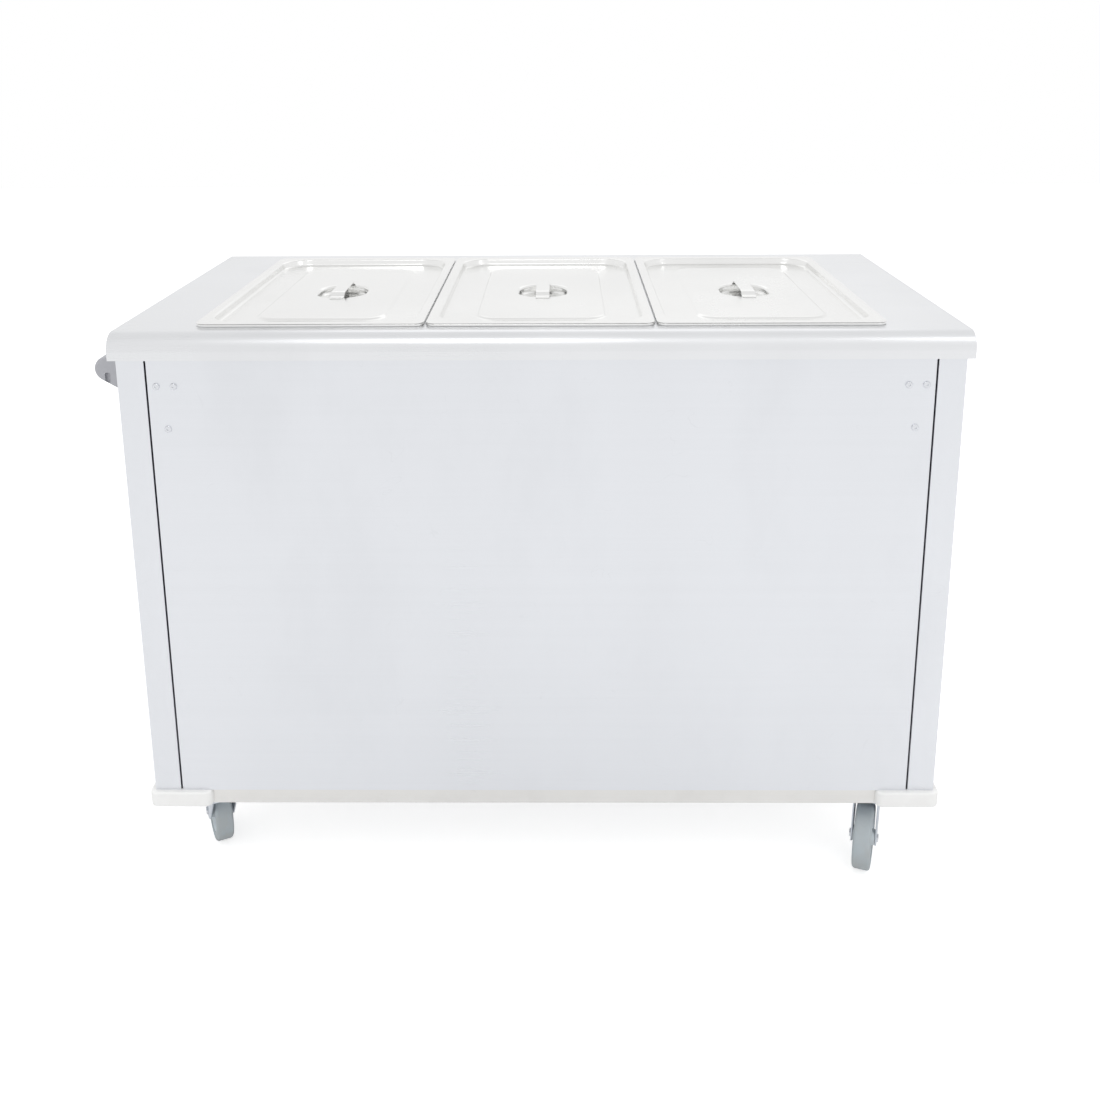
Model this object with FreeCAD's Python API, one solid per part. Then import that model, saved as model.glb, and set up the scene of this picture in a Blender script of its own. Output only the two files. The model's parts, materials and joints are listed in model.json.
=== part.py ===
"""Hostess trolley: a mobile hot cupboard with a dry-heat well for three covered food pans.

Lengths are in millimetres. +X is the right-hand end and -Y the plain customer side, +Y is the
operator's side with the controls and doors, and +Z is up. The origin is on the floor, under the
middle of the whole trolley's box.
"""
import FreeCAD
import Part
import math
import os

V = FreeCAD.Vector

# Worktop
worktop_width = 1200.0
worktop_depth = 650.0
worktop_height = 870.0
worktop_sheet = 1.5
bullnose_radius = 25.0
edge_drop = 37.0
well_shift = 14.5            # the pans stand nearer the customer side

# Cabinet
side_overhang = 8.0
front_overhang = 8.0
panel_top_gap = 8.5          # the skins stop short of the worktop so that they clear its bullnose
panel_sheet = 1.2
bend = 0.8                   # inside radius of a folded sheet
return_flange = 39.5         # end panel's return on the long sides
return_lip = 12.0
seam_gap = 2.0
liner_sheet = 1.0
liner_gap = 29.0             # from the customer panel to the cupboard's own wall
floor_sheet = 1.2
floor_lip = 12.0             # how far the floor reaches out over the customer-side rail
fascia_setback = 24.0
fascia_height = 168.5
ceiling_drop = 37.0          # cupboard ceiling below the fascia's lower edge
shelf_fold = 20.0
rail_leg = 18.0
shelf_gap = 3.0

# Base and corner bumpers
castor_height = 128.0
base_height = 25.0
base_setback = 4.0
base_end_setback = 6.0
base_wall = 2.0
bearer_width = 120.0
bumper_leg = 95.0
bumper_edge = 3.0

# Pans and lids
pan_count = 3
pan_width = 325.0
pan_length = 530.0
pan_gap = 3.0
pan_depth = 150.0
pan_sheet = 0.8
pan_corner = 14.0
pan_rim = 3.5                # height of the pan's rim above the worktop
pan_flange = 12.5
pan_taper = 9.0
pan_inner_corner = 48.0
pan_foot = 12.0              # radius where the pan's walls meet its floor
seat = 0.3                   # clearance of a loose piece on its seat
rim_overlap = 9.0            # how far the rim rests on the worktop
lid_sheet = 0.8
lid_recess = 11.0
lid_play = 2.0
lid_wall_taper = 3.0
field_inset = 66.0
field_rise = 3.0
field_corner = 30.0
dish_width = 78.0
dish_length = 100.0
dish_depth = 12.0            # also the radius of the dish's side
dish_corner = 38.5
strap_width = 22.0
strap_rise = 6.4
strap_ramp = 9.6
strap_bend = 3.2
strap_foot = 12.0
strap_sheet = 1.2

# Well and heaters
well_depth = 190.0
well_sheet = 1.0
well_corner = 15.0
well_flange = 22.0
divider_width = 18.0
divider_depth = 20.0
divider_sheet = 1.2
element_radius = 4.0
element_rise = 16.0
element_bend = 10.0
well_element_reach = 360.0
well_element_spread = 130.0
cupboard_element_reach = 900.0
cupboard_element_spread = 110.0
guard_height = 42.0
guard_sheet = 1.0
guard_slots = 18
guard_slot_width = 12.0
guard_slot_corner = 5.9
guard_margin = 20.0

# Sliding doors and their tracks
door_thickness = 16.0
door_sheet = 1.0
door_lip = 10.0
door_overlap = 22.0
door_end_gap = 0.5
track_sheet = 1.0
track_play = 1.0
top_track_depth = 20.0
door_engagement = 12.0
bottom_track_depth = 9.0
door_lift = 5.5              # door's lower edge above the cupboard floor
glide_length = 40.0
pull_width = 96.0
pull_height = 30.0
pull_depth = 11.0
pull_flange = 5.0
pull_sheet = 1.0
pull_edge_distance = 60.0

# Controls
control_drop = 105.0         # below the worktop
switch_x = 440.0
cupboard_knob_x = 340.0
well_knob_x = 230.0
lamp_x = 150.0
lamp_spacing = 26.0
gland_x = 505.0
knob_radius = 22.0
knob_height = 19.0
knob_barrel = 17.6
knob_skirt = 4.0
knob_round = 2.0
pointer_proud = 1.5
knob_gap = 0.5
pointer_width = 6.0
spindle_radius = 3.0
spindle_length = 12.0
running_clearance = 0.05
thermostat_size = 36.0
thermostat_depth = 26.0
bush_radius = 5.0
rocker_width = 18.0
rocker_height = 14.8
rocker_depth = 8.0
rocker_dip = 1.6
rocker_tilt = 12.0           # off position, leaning back from upright
rocker_pin_radius = 1.5
rocker_pin_length = 2.0
rocker_play = 2.0
switch_width = 30.0
switch_height = 26.0
switch_flange = 2.0
switch_depth = 22.0
lamp_radius = 6.0
lamp_lip = 1.5
lamp_dome = 4.0
lamp_round = 2.8
lamp_depth = 18.0
gland_radius = 8.0
gland_bore = 4.5
gland_nose = 10.0
gland_nut = 5.0
gland_nut_radius = 12.8
gland_round = 2.5
gland_tail = 12.0

# Push handle on the left-hand end
handle_radius = 15.0
handle_reach = 48.0
handle_wall = 2.0
handle_drop = 75.0           # below the worktop
handle_half_span = 217.0
bracket_nose = 19.0
bracket_width = 26.0
bracket_foot_below = 50.0
bracket_foot_above = 17.0
bracket_edge = 3.0
slot_width = 8.0
slot_length = 16.0
slot_depth = 5.0
handle_screw_radius = 3.0
handle_screw_pitch = 26.0
handle_screw_drop = 26.0
handle_screw_bite = 14.0
handle_screw_head = 3.0

# Dome-head screws that hold the customer panel's top corners
screw_outer = 537.5
screw_inner = 513.0
screw_upper_drop = 76.0      # below the worktop
screw_lower_drop = 138.5
screw_head = 5.2
screw_head_height = 2.6
screw_head_round = 2.0
screw_shank = 2.0
screw_length = 9.0
corner_bracket_inner = 505.0
corner_bracket_drop = 155.0
corner_bracket_leg = 25.0
corner_bracket_sheet = 2.0

# Castors
castor_inset_x = 78.5
castor_inset_y = 67.0
castor_trail = 36.0
wheel_radius = 50.0
tyre_width = 27.0
tyre_thickness = 14.0
tyre_shoulder = 5.0
core_web = 10.0
core_boss_radius = 13.0
core_rim = 4.0
core_inset = 1.5
fork_gap = 34.0
fork_sheet = 2.5
fork_boss = 12.0
hub_play = 0.6
axle_radius = 4.0
axle_head = 7.0
axle_head_height = 2.6
castor_plate_x = 85.0
castor_plate_y = 105.0
castor_plate_sheet = 3.0
castor_plate_corner = 8.0
castor_bolt_x = 60.0
castor_bolt_y = 60.0
castor_bolt_radius = 4.0
castor_bolt_head = 6.5
castor_bolt_head_height = 5.3
race_radius = 28.0
race_height = 10.6
king_pin_radius = 6.0
king_pin_head = 9.6
crown_radius = 32.0
crown_sheet = 3.0
swivel_head_height = 6.0
pedal_sheet = 2.0
pedal_reach = 80.0
pedal_drop = 9.0
pedal_pin_radius = 3.0
pedal_pin_proud = 1.0
pedal_pivot_u = 20.0
pedal_pivot_z = 98.0
pedal_arm = 6.0
pedal_knee = 54.0
pedal_knee_drop = 1.8
pedal_shoe = 8.0
front_right_heading = 250.0  # the way each wheel trails, in degrees round from +X
front_left_heading = 116.0
rear_left_heading = 70.0
rear_right_heading = 296.0

# Straight facets that stand for each quarter-round foot
foot_steps = 3

# Places that follow from the sizes above
half_width = worktop_width / 2 - side_overhang
half_depth = worktop_depth / 2 - front_overhang
panel_bottom = castor_height + base_height
under_worktop = worktop_height - worktop_sheet
panel_top = under_worktop - panel_top_gap
flange_edge = half_width - return_flange
panel_edge = flange_edge - seam_gap
liner_x = flange_edge - liner_sheet
liner_y = liner_gap - half_depth
cupboard_y = liner_y + liner_sheet
floor_top = panel_bottom + floor_sheet
fascia_y = half_depth - fascia_setback
fascia_bottom = under_worktop - fascia_height
control_level = worktop_height - control_drop
handle_level = worktop_height - handle_drop
screw_upper_level = worktop_height - screw_upper_drop
screw_lower_level = worktop_height - screw_lower_drop
corner_bracket_bottom = worktop_height - corner_bracket_drop
ceiling_level = fascia_bottom - ceiling_drop
shelf_level = (floor_top + ceiling_level) / 2
rail_y = half_depth - base_setback
rail_x = half_width - base_end_setback
pan_pitch = pan_width + pan_gap
pan_centres = [(index - (pan_count - 1) / 2) * pan_pitch for index in range(pan_count)]
well_y = -well_shift
well_width = pan_count * pan_pitch - pan_gap - 2 * rim_overlap
well_length = pan_length - 2 * rim_overlap
well_bottom = under_worktop - well_depth
pan_top = worktop_height + pan_rim
pan_mouth_width = pan_width - 2 * pan_flange
pan_mouth_length = pan_length - 2 * pan_flange
lid_top = pan_top + seat + lid_sheet
lid_floor = lid_top - lid_recess
field_top = lid_floor + field_rise
dish_floor = field_top - dish_depth
outer_door_y = fascia_y - track_sheet - track_play - door_thickness
inner_door_y = outer_door_y - track_sheet - 2 * track_play - door_thickness
track_y = inner_door_y - track_play - track_sheet
door_bottom = floor_top + door_lift
door_top = fascia_bottom - track_sheet - top_track_depth + door_engagement
door_width = liner_x + door_overlap / 2 - door_end_gap
pull_level = (door_bottom + door_top) / 2
castor_x = half_width - castor_inset_x
castor_y = half_depth - castor_inset_y
fork_top = castor_height - castor_plate_sheet - race_height - seat
crown_top = fork_top - swivel_head_height
leg_outer = fork_gap / 2 + fork_sheet
handle_x = -half_width - handle_reach


def box(x0, x1, y0, y1, z0, z1):
    """Block between two corners."""
    return Part.makeBox(x1 - x0, y1 - y0, z1 - z0, V(x0, y0, z0))


def rod(start, end, radius):
    """Round bar between two points."""
    return Part.makeCylinder(radius, (end - start).Length, start, end - start)


def place(plane, u, v, w):
    """Point of a drawing plane in space, at distance w along the plane's own normal axis."""
    if plane == "yz":
        return V(w, u, v)
    if plane == "xz":
        return V(u, w, v)
    return V(u, v, w)


def drawn_out(plane, edges, length):
    """Solid drawn out from a closed outline of edges."""
    face = Part.Face(Part.Wire(Part.__sortEdges__(edges)))
    return face.extrude(place(plane, 0, 0, length))


def polygon(plane, points, start, length):
    """Straight-sided block with the given outline."""
    corners = [place(plane, u, v, start) for u, v in points]
    return Part.Face(Part.makePolygon(corners + corners[:1])).extrude(place(plane, 0, 0, length))


def folded_sheet(plane, points, sheet, radius, start, length):
    """Sheet on the left-hand side of a path of (u, v) points, with rounded bends."""
    near = []
    far = []
    steps = [(b[0] - a[0], b[1] - a[1]) for a, b in zip(points, points[1:])]
    ways = [(u / math.hypot(u, v), v / math.hypot(u, v)) for u, v in steps]
    near_from = points[0]
    far_from = (points[0][0] - ways[0][1] * sheet, points[0][1] + ways[0][0] * sheet)
    first_cap = (near_from, far_from)
    for corner, before, after in zip(points[1:-1], ways, ways[1:]):
        turn = math.atan2(before[0] * after[1] - before[1] * after[0],
                          before[0] * after[0] + before[1] * after[1])
        side = math.copysign(1.0, turn)
        near_radius = radius + sheet if side > 0 else radius
        far_radius = near_radius - side * sheet
        back = near_radius * math.tan(abs(turn) / 2)
        near_in = (corner[0] - before[0] * back, corner[1] - before[1] * back)
        near_out = (corner[0] + after[0] * back, corner[1] + after[1] * back)
        far_in = (near_in[0] - before[1] * sheet, near_in[1] + before[0] * sheet)
        far_out = (near_out[0] - after[1] * sheet, near_out[1] + after[0] * sheet)
        centre = (near_in[0] - side * before[1] * near_radius, near_in[1] + side * before[0] * near_radius)
        reach = math.hypot(corner[0] - centre[0], corner[1] - centre[1])
        middle = ((corner[0] - centre[0]) / reach, (corner[1] - centre[1]) / reach)
        near_middle = (centre[0] + middle[0] * near_radius, centre[1] + middle[1] * near_radius)
        far_middle = (centre[0] + middle[0] * far_radius, centre[1] + middle[1] * far_radius)
        near += [(near_from, near_in), (near_in, near_middle, near_out)]
        far += [(far_from, far_in), (far_in, far_middle, far_out)]
        near_from = near_out
        far_from = far_out
    last = points[-1]
    last_far = (last[0] - ways[-1][1] * sheet, last[1] + ways[-1][0] * sheet)
    near += [(near_from, last)]
    far += [(far_from, last_far)]
    edges = [outline_edge(plane, stretch, start) for stretch in near + far + [first_cap, (last, last_far)]]
    return drawn_out(plane, edges, length)


def outline_edge(plane, stretch, start):
    """Straight edge through two points, or arc through three."""
    points = [place(plane, u, v, start) for u, v in stretch]
    if len(points) == 2:
        return Part.LineSegment(points[0], points[1]).toShape()
    return Part.Arc(points[0], points[1], points[2]).toShape()


def rounded_rectangle(centre_x, centre_y, level, width, length, corner):
    """Closed wire of a flat rectangle with round corners, anticlockwise from the right-hand side."""
    across = width / 2 - corner
    along = length / 2 - corner
    slant = corner * math.sqrt(0.5)
    edges = []
    for sx, sy in ((1, 1), (-1, 1), (-1, -1), (1, -1)):
        cx = centre_x + sx * across
        cy = centre_y + sy * along
        beside = V(cx + sx * corner, cy, level)
        beyond = V(cx, cy + sy * corner, level)
        slanted = V(cx + sx * slant, cy + sy * slant, level)
        first, second = (beside, beyond) if sx * sy > 0 else (beyond, beside)
        to_next = V(-2 * sx * across, 0, 0) if sx * sy > 0 else V(0, -2 * sy * along, 0)
        edges.append(Part.Arc(first, slanted, second).toShape())
        edges.append(Part.LineSegment(second, second + to_next).toShape())
    return Part.Wire(edges)


def tub(centre_x, centre_y, levels):
    """Solid through rounded rectangles given as (level, width, length, corner)."""
    return Part.makeLoft([rounded_rectangle(centre_x, centre_y, *level) for level in levels], True, True)


def slab(centre_x, centre_y, low, high, width, length, corner):
    """Flat plate with round corners."""
    return tub(centre_x, centre_y, [(low, width, length, corner), (high, width, length, corner)])


def bent_rod(points, radius, bend_radius):
    """Round bar along straight runs joined by arcs of one radius."""
    edges = []
    run_from = points[0]
    for before, corner, after in zip(points, points[1:], points[2:]):
        way_in = (corner - before).normalize()
        way_out = (after - corner).normalize()
        half_turn = way_in.getAngle(way_out) / 2
        back = bend_radius * math.tan(half_turn)
        arc_from = corner - way_in * back
        arc_to = corner + way_out * back
        inward = (way_out - way_in).normalize()
        middle = corner + inward * (bend_radius / math.cos(half_turn) - bend_radius)
        edges.append(Part.LineSegment(run_from, arc_from).toShape())
        edges.append(Part.Arc(arc_from, middle, arc_to).toShape())
        run_from = arc_to
    edges.append(Part.LineSegment(run_from, points[-1]).toShape())
    ring = Part.Wire(Part.makeCircle(radius, points[0], points[1] - points[0]))
    return Part.Wire(edges).makePipeShell([ring], True, False)


def mirrored(shape, axis):
    """The same shape on the other side of the middle."""
    return shape.mirror(V(0, 0, 0), axis)


def make_worktop():
    """Folded top with bullnosed long edges, closed ends and one cut-out for the pans."""
    low = worktop_height - edge_drop
    half = worktop_depth / 2
    profile = [(half, low), (half, worktop_height), (-half, worktop_height), (-half, low)]
    top = folded_sheet("yz", profile, worktop_sheet, bullnose_radius - worktop_sheet,
                       -worktop_width / 2, worktop_width)
    end = worktop_end(half, low)
    left = end.translated(V(-worktop_width / 2, 0, 0))
    right = end.translated(V(worktop_width / 2 - worktop_sheet, 0, 0))
    opening = slab(0, well_y, low, worktop_height + worktop_sheet, well_width, well_length, well_corner)
    return top.fuse([left, right]).cut(opening).removeSplitter()


def worktop_end(half, low):
    """Plate that closes one end of the folded top."""
    shoulder = worktop_height - bullnose_radius
    inner = half - bullnose_radius
    slant = bullnose_radius * math.sqrt(0.5)
    stretches = [((-half, low), (half, low)),
                 ((half, low), (half, shoulder)),
                 ((half, shoulder), (inner + slant, shoulder + slant), (inner, worktop_height)),
                 ((inner, worktop_height), (-inner, worktop_height)),
                 ((-inner, worktop_height), (-inner - slant, shoulder + slant), (-half, shoulder)),
                 ((-half, shoulder), (-half, low))]
    return drawn_out("yz", [outline_edge("yz", stretch, 0) for stretch in stretches], worktop_sheet)


def make_well_tank():
    """Dry-heat well that hangs under the worktop's cut-out."""
    outer = slab(0, well_y, well_bottom, under_worktop, well_width + 2 * well_sheet,
                 well_length + 2 * well_sheet, well_corner + well_sheet)
    flange = slab(0, well_y, under_worktop - well_sheet, under_worktop, well_width + 2 * well_flange,
                  well_length + 2 * well_flange, well_corner)
    inner = slab(0, well_y, well_bottom + well_sheet, worktop_height, well_width, well_length, well_corner)
    return outer.fuse(flange).cut(inner).removeSplitter()


def make_pan_divider_bars():
    """Channels between the pans, flush with the worktop."""
    bars = []
    for first, second in zip(pan_centres, pan_centres[1:]):
        left = (first + second) / 2 - divider_width / 2
        right = left + divider_width
        low = worktop_height - divider_depth
        profile = [(right, low), (right, worktop_height), (left, worktop_height), (left, low)]
        bars.append(folded_sheet("xz", profile, divider_sheet, bend, well_y - well_length / 2, well_length))
    return bars


def hairpin(start, along, across, floor, reach, spread):
    """U-shaped sheathed element whose two ends turn down to the floor."""
    up = V(0, 0, 1)
    level = up * (floor + element_rise)
    near = start - across * (spread / 2)
    far = start + across * (spread / 2)
    points = [near + up * floor, near + level, near + along * reach + level,
              far + along * reach + level, far + level, far + up * floor]
    return bent_rod(points, element_radius, element_bend)


def make_well_heaters():
    """One sheathed element under each pan, standing on the well's floor."""
    start_y = well_y - well_element_reach / 2
    return [hairpin(V(middle, start_y, 0), V(0, 1, 0), V(1, 0, 0), well_bottom + well_sheet,
                    well_element_reach, well_element_spread) for middle in pan_centres]


def make_end_panel():
    """Left-hand end skin with its returns and lips on the long sides."""
    lip = half_depth - return_lip
    profile = [(-flange_edge, -lip), (-flange_edge, -half_depth), (-half_width, -half_depth),
               (-half_width, half_depth), (-flange_edge, half_depth), (-flange_edge, lip)]
    profile.reverse()
    return folded_sheet("xy", profile, panel_sheet, bend, panel_bottom, panel_top - panel_bottom)


def make_left_end_panel():
    """End skin drilled for the push handle's screws."""
    panel = make_end_panel()
    for spot in handle_screw_spots():
        hole_end = spot - V(2 * panel_sheet, 0, 0)
        panel = panel.cut(rod(spot, hole_end, handle_screw_radius + running_clearance))
    return panel


def make_customer_panel():
    """Plain skin between the end panels, drilled for the six screws."""
    lip = return_lip - half_depth
    profile = [(panel_edge, lip), (panel_edge, -half_depth), (-panel_edge, -half_depth), (-panel_edge, lip)]
    profile.reverse()
    panel = folded_sheet("xy", profile, panel_sheet, bend, panel_bottom, panel_top - panel_bottom)
    return panel.cut(screw_holes())


def screw_spots():
    """Centres of the six screw heads on the face of the customer panel."""
    places = ((screw_outer, screw_upper_level), (screw_inner, screw_upper_level),
              ((screw_outer + screw_inner) / 2, screw_lower_level))
    return [V(side * across, -half_depth, level) for side in (-1, 1) for across, level in places]


def screw_holes():
    """Clearance holes for the six screws."""
    return Part.makeCompound([rod(spot, spot + V(0, 2 * screw_length, 0), screw_shank + running_clearance)
                              for spot in screw_spots()])


def make_panel_screws():
    """Dome-head screws that hold the top corners of the customer panel."""
    screws = []
    for spot in screw_spots():
        head = rod(spot, spot - V(0, screw_head_height, 0), screw_head)
        rim = [edge for edge in head.Edges if edge.BoundBox.YMax < spot.y - screw_head_height / 2]
        head = head.makeFillet(screw_head_round, rim)
        screws.append(head.fuse(rod(spot, spot + V(0, screw_length, 0), screw_shank)).removeSplitter())
    return screws


def make_panel_corner_brackets():
    """Angles that stiffen the customer panel's top corners where its screws pass, inside its lips."""
    back = panel_sheet - half_depth
    outer = panel_edge - panel_sheet
    profile = [(corner_bracket_inner, back), (outer, back), (outer, back + corner_bracket_leg)]
    angle = folded_sheet("xy", profile, corner_bracket_sheet, bend, corner_bracket_bottom,
                         panel_top - corner_bracket_bottom)
    right = angle.cut(screw_holes())
    return [mirrored(right, V(1, 0, 0)), right]


def tube_rail(x0, x1, y0, y1):
    """Box-section rail along X."""
    outer = box(x0, x1, y0, y1, castor_height, panel_bottom)
    inner = box(x0, x1, y0 + base_wall, y1 - base_wall, castor_height + base_wall, panel_bottom - base_wall)
    return outer.cut(inner)


def make_base_front_rail():
    """Rail below the customer panel."""
    return tube_rail(-rail_x, rail_x, -rail_y, base_height - rail_y)


def make_base_back_rail():
    """Rail below the doors."""
    return tube_rail(-rail_x, rail_x, rail_y - base_height, rail_y)


def make_castor_bearers():
    """Wide box sections between the rails that the castors bolt to."""
    inner_y = rail_y - base_height
    bearers = []
    for low_x in (-rail_x, rail_x - bearer_width):
        outer = box(low_x, low_x + bearer_width, -inner_y, inner_y, castor_height, panel_bottom)
        core = box(low_x + base_wall, low_x + bearer_width - base_wall, -inner_y, inner_y,
                   castor_height + base_wall, panel_bottom - base_wall)
        bearers.append(outer.cut(core).cut(castor_bolt_holes()))
    return bearers


def make_corner_bumpers():
    """L-shaped plastic mouldings round the corners of the base, with soft outer edges."""
    outer_x = worktop_width / 2
    outer_y = worktop_depth / 2
    front = outer_y - rail_y
    side = outer_x - rail_x
    slant = 1 - math.sqrt(0.5)
    leg_x = outer_x - bumper_leg
    leg_y = outer_y - bumper_leg
    stretches = [((leg_x, -rail_y), (leg_x + front * slant, -outer_y + front * slant),
                  (leg_x + front, -outer_y)),
                 ((leg_x + front, -outer_y), (outer_x - front, -outer_y)),
                 ((outer_x - front, -outer_y), (outer_x - front * slant, -outer_y + front * slant),
                  (outer_x, front - outer_y)),
                 ((outer_x, front - outer_y), (outer_x, -leg_y - side)),
                 ((outer_x, -leg_y - side), (outer_x - side * slant, -leg_y - side * slant),
                  (rail_x, -leg_y)),
                 ((rail_x, -leg_y), (rail_x, -rail_y)),
                 ((rail_x, -rail_y), (leg_x, -rail_y))]
    outline = [outline_edge("xy", stretch, castor_height) for stretch in stretches]
    moulding = drawn_out("xy", outline, base_height)
    long_edges = [edge for edge in moulding.Edges if is_bumper_edge(edge, outer_x, outer_y)]
    moulding = moulding.makeFillet(bumper_edge, long_edges)
    right = [moulding, mirrored(moulding, V(0, 1, 0))]
    return right + [mirrored(shape, V(1, 0, 0)) for shape in right]


def is_bumper_edge(edge, outer_x, outer_y):
    """Whether an edge of the moulding runs along its outside at the top or the bottom."""
    bounds = edge.BoundBox
    level = bounds.ZLength < bumper_edge / 2
    outside = bounds.XMax > outer_x - bumper_edge / 2 or bounds.YMin < bumper_edge / 2 - outer_y
    return level and outside


def make_cupboard_floor():
    """Floor of the hot cupboard, on the base."""
    return box(-liner_x, liner_x, liner_y - floor_lip, fascia_y, panel_bottom, floor_top)


def make_cupboard_ceiling():
    """Ceiling of the hot cupboard, turned up behind the door track."""
    upturn = track_y - 2 * track_play
    profile = [(cupboard_y, ceiling_level), (upturn, ceiling_level), (upturn, fascia_bottom)]
    return folded_sheet("yz", profile, liner_sheet, bend, -liner_x, 2 * liner_x)


def make_side_liners():
    """Inner walls of the two ends, notched where they pass under the bullnose."""
    tall = box(liner_x, flange_edge, liner_y, fascia_y, panel_bottom, under_worktop)
    deep = box(liner_x, flange_edge, liner_y, half_depth, panel_bottom, panel_top)
    right = tall.fuse(deep).removeSplitter()
    return [mirrored(right, V(1, 0, 0)), right]


def make_customer_side_liner():
    """Inner wall of the cupboard on the plain side."""
    return box(-liner_x, liner_x, liner_y, cupboard_y, floor_top, ceiling_level + liner_sheet)


def make_shelf():
    """Fixed middle shelf with folded long edges."""
    back = cupboard_y + shelf_gap
    front = track_y - shelf_gap
    low = shelf_level - shelf_fold
    profile = [(front, low), (front, shelf_level), (back, shelf_level), (back, low)]
    return folded_sheet("yz", profile, liner_sheet, bend, shelf_gap - liner_x, 2 * (liner_x - shelf_gap))


def make_shelf_rails():
    """Angles on the side liners that the shelf lies on."""
    back = cupboard_y + 2 * shelf_gap + liner_sheet
    front = track_y - 2 * shelf_gap - liner_sheet
    top = shelf_level - liner_sheet
    profile = [(liner_x, top - rail_leg), (liner_x, top), (liner_x - rail_leg, top)]
    right = folded_sheet("xz", profile, liner_sheet, bend, back, front - back)
    return [mirrored(right, V(1, 0, 0)), right]


def e_track(web, flange):
    """Two-lane door track: a web at one level and three flanges up to the other."""
    low = min(web, flange)
    high = max(web, flange)
    inner = track_y + track_sheet
    lane_width = door_thickness + 2 * track_play
    block = box(-liner_x, liner_x, track_y, fascia_y, low, high)
    into = track_sheet if web < flange else -track_sheet
    for lane_y in (inner, inner + lane_width + track_sheet):
        lane = box(-liner_x, liner_x, lane_y, lane_y + lane_width,
                   min(web + into, flange), max(web + into, flange))
        block = block.cut(lane)
    return block


def make_door_top_track():
    """Track that guides the doors' upper edges, under the control fascia."""
    return e_track(fascia_bottom, fascia_bottom - track_sheet - top_track_depth)


def make_door_bottom_track():
    """Track that the doors' glides run in, on the cupboard floor."""
    return e_track(floor_top, floor_top + track_sheet + bottom_track_depth)


def make_door(low_x, low_y):
    """Sliding door: a tray of sheet with its lips turned in, and two glides under it."""
    high_x = low_x + door_width
    high_y = low_y + door_thickness
    solid = box(low_x, high_x, low_y, high_y, door_bottom, door_top)
    hollow = box(low_x + door_sheet, high_x - door_sheet, low_y + door_sheet, high_y - door_sheet,
                 door_bottom + door_sheet, door_top - door_sheet)
    window = box(low_x + door_lip, high_x - door_lip, low_y, low_y + door_sheet,
                 door_bottom + door_lip, door_top - door_lip)
    centre_x = pull_centre_x(low_x)
    seat_hole = box(centre_x - pull_width / 2, centre_x + pull_width / 2, high_y - door_sheet, high_y,
                    pull_level - pull_height / 2, pull_level + pull_height / 2)
    glides = [box(x, x + glide_length, low_y, high_y, floor_top + track_sheet + seat, door_bottom)
              for x in (low_x + glide_length, high_x - 2 * glide_length)]
    return [solid.cut(hollow).cut(window).cut(seat_hole)] + glides


def pull_centre_x(low_x):
    """Middle of a door's finger pull, near the door's outer end."""
    if low_x < -liner_x / 2:
        return low_x + pull_edge_distance + pull_width / 2
    return low_x + door_width - pull_edge_distance - pull_width / 2


def make_door_pull(low_x, low_y):
    """Sunk finger cup with a thin flange on the door's face."""
    face = low_y + door_thickness
    middle = pull_centre_x(low_x)
    half = pull_width / 2
    half_high = pull_height / 2
    cup = box(middle - half, middle + half, face - pull_depth, face,
              pull_level - half_high, pull_level + half_high)
    flange = box(middle - half - pull_flange, middle + half + pull_flange, face, face + pull_sheet,
                 pull_level - half_high - pull_flange, pull_level + half_high + pull_flange)
    well = box(middle - half + pull_sheet, middle + half - pull_sheet, face - pull_depth + pull_sheet,
               face + pull_sheet, pull_level - half_high + pull_sheet, pull_level + half_high - pull_sheet)
    return cup.fuse(flange).cut(well).removeSplitter()


def make_control_fascia():
    """Set-back strip between the worktop and the doors that carries the controls."""
    back = track_y - 3 * track_play - liner_sheet
    profile = [(back, fascia_bottom), (fascia_y, fascia_bottom), (fascia_y, under_worktop)]
    fascia = folded_sheet("yz", profile, panel_sheet, bend, -liner_x, 2 * liner_x)
    for middle in (cupboard_knob_x, well_knob_x):
        fascia = fascia.cut(control_rod(middle, -panel_sheet, 0, bush_radius))
    for middle in lamp_places():
        fascia = fascia.cut(control_rod(middle, -panel_sheet, 0, lamp_radius))
    fascia = fascia.cut(control_rod(gland_x, -panel_sheet, 0, gland_radius))
    return fascia.cut(control_block(switch_x, switch_body_width(), switch_body_height(), -panel_sheet, 0))


def control_rod(middle, start, end, radius):
    """Round bar through the fascia, from one distance off its face to another."""
    return rod(V(middle, fascia_y + start, control_level), V(middle, fascia_y + end, control_level), radius)


def control_block(middle, width, height, start, end):
    """Block through the fascia, from one distance off its face to another."""
    return box(middle - width / 2, middle + width / 2, fascia_y + start, fascia_y + end,
               control_level - height / 2, control_level + height / 2)


def lamp_places():
    """Middles of the two indicator lamps."""
    return (lamp_x, lamp_x - lamp_spacing)


def make_thermostats():
    """Regulators behind the fascia, each with a bush and a spindle."""
    regulators = []
    for middle in (cupboard_knob_x, well_knob_x):
        case = control_block(middle, thermostat_size, thermostat_size,
                             -panel_sheet - thermostat_depth, -panel_sheet)
        bush = control_rod(middle, -panel_sheet, 0, bush_radius)
        spindle = control_rod(middle, -panel_sheet, spindle_length, spindle_radius)
        regulators.append(case.fuse([bush, spindle]).removeSplitter())
    return regulators


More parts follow.
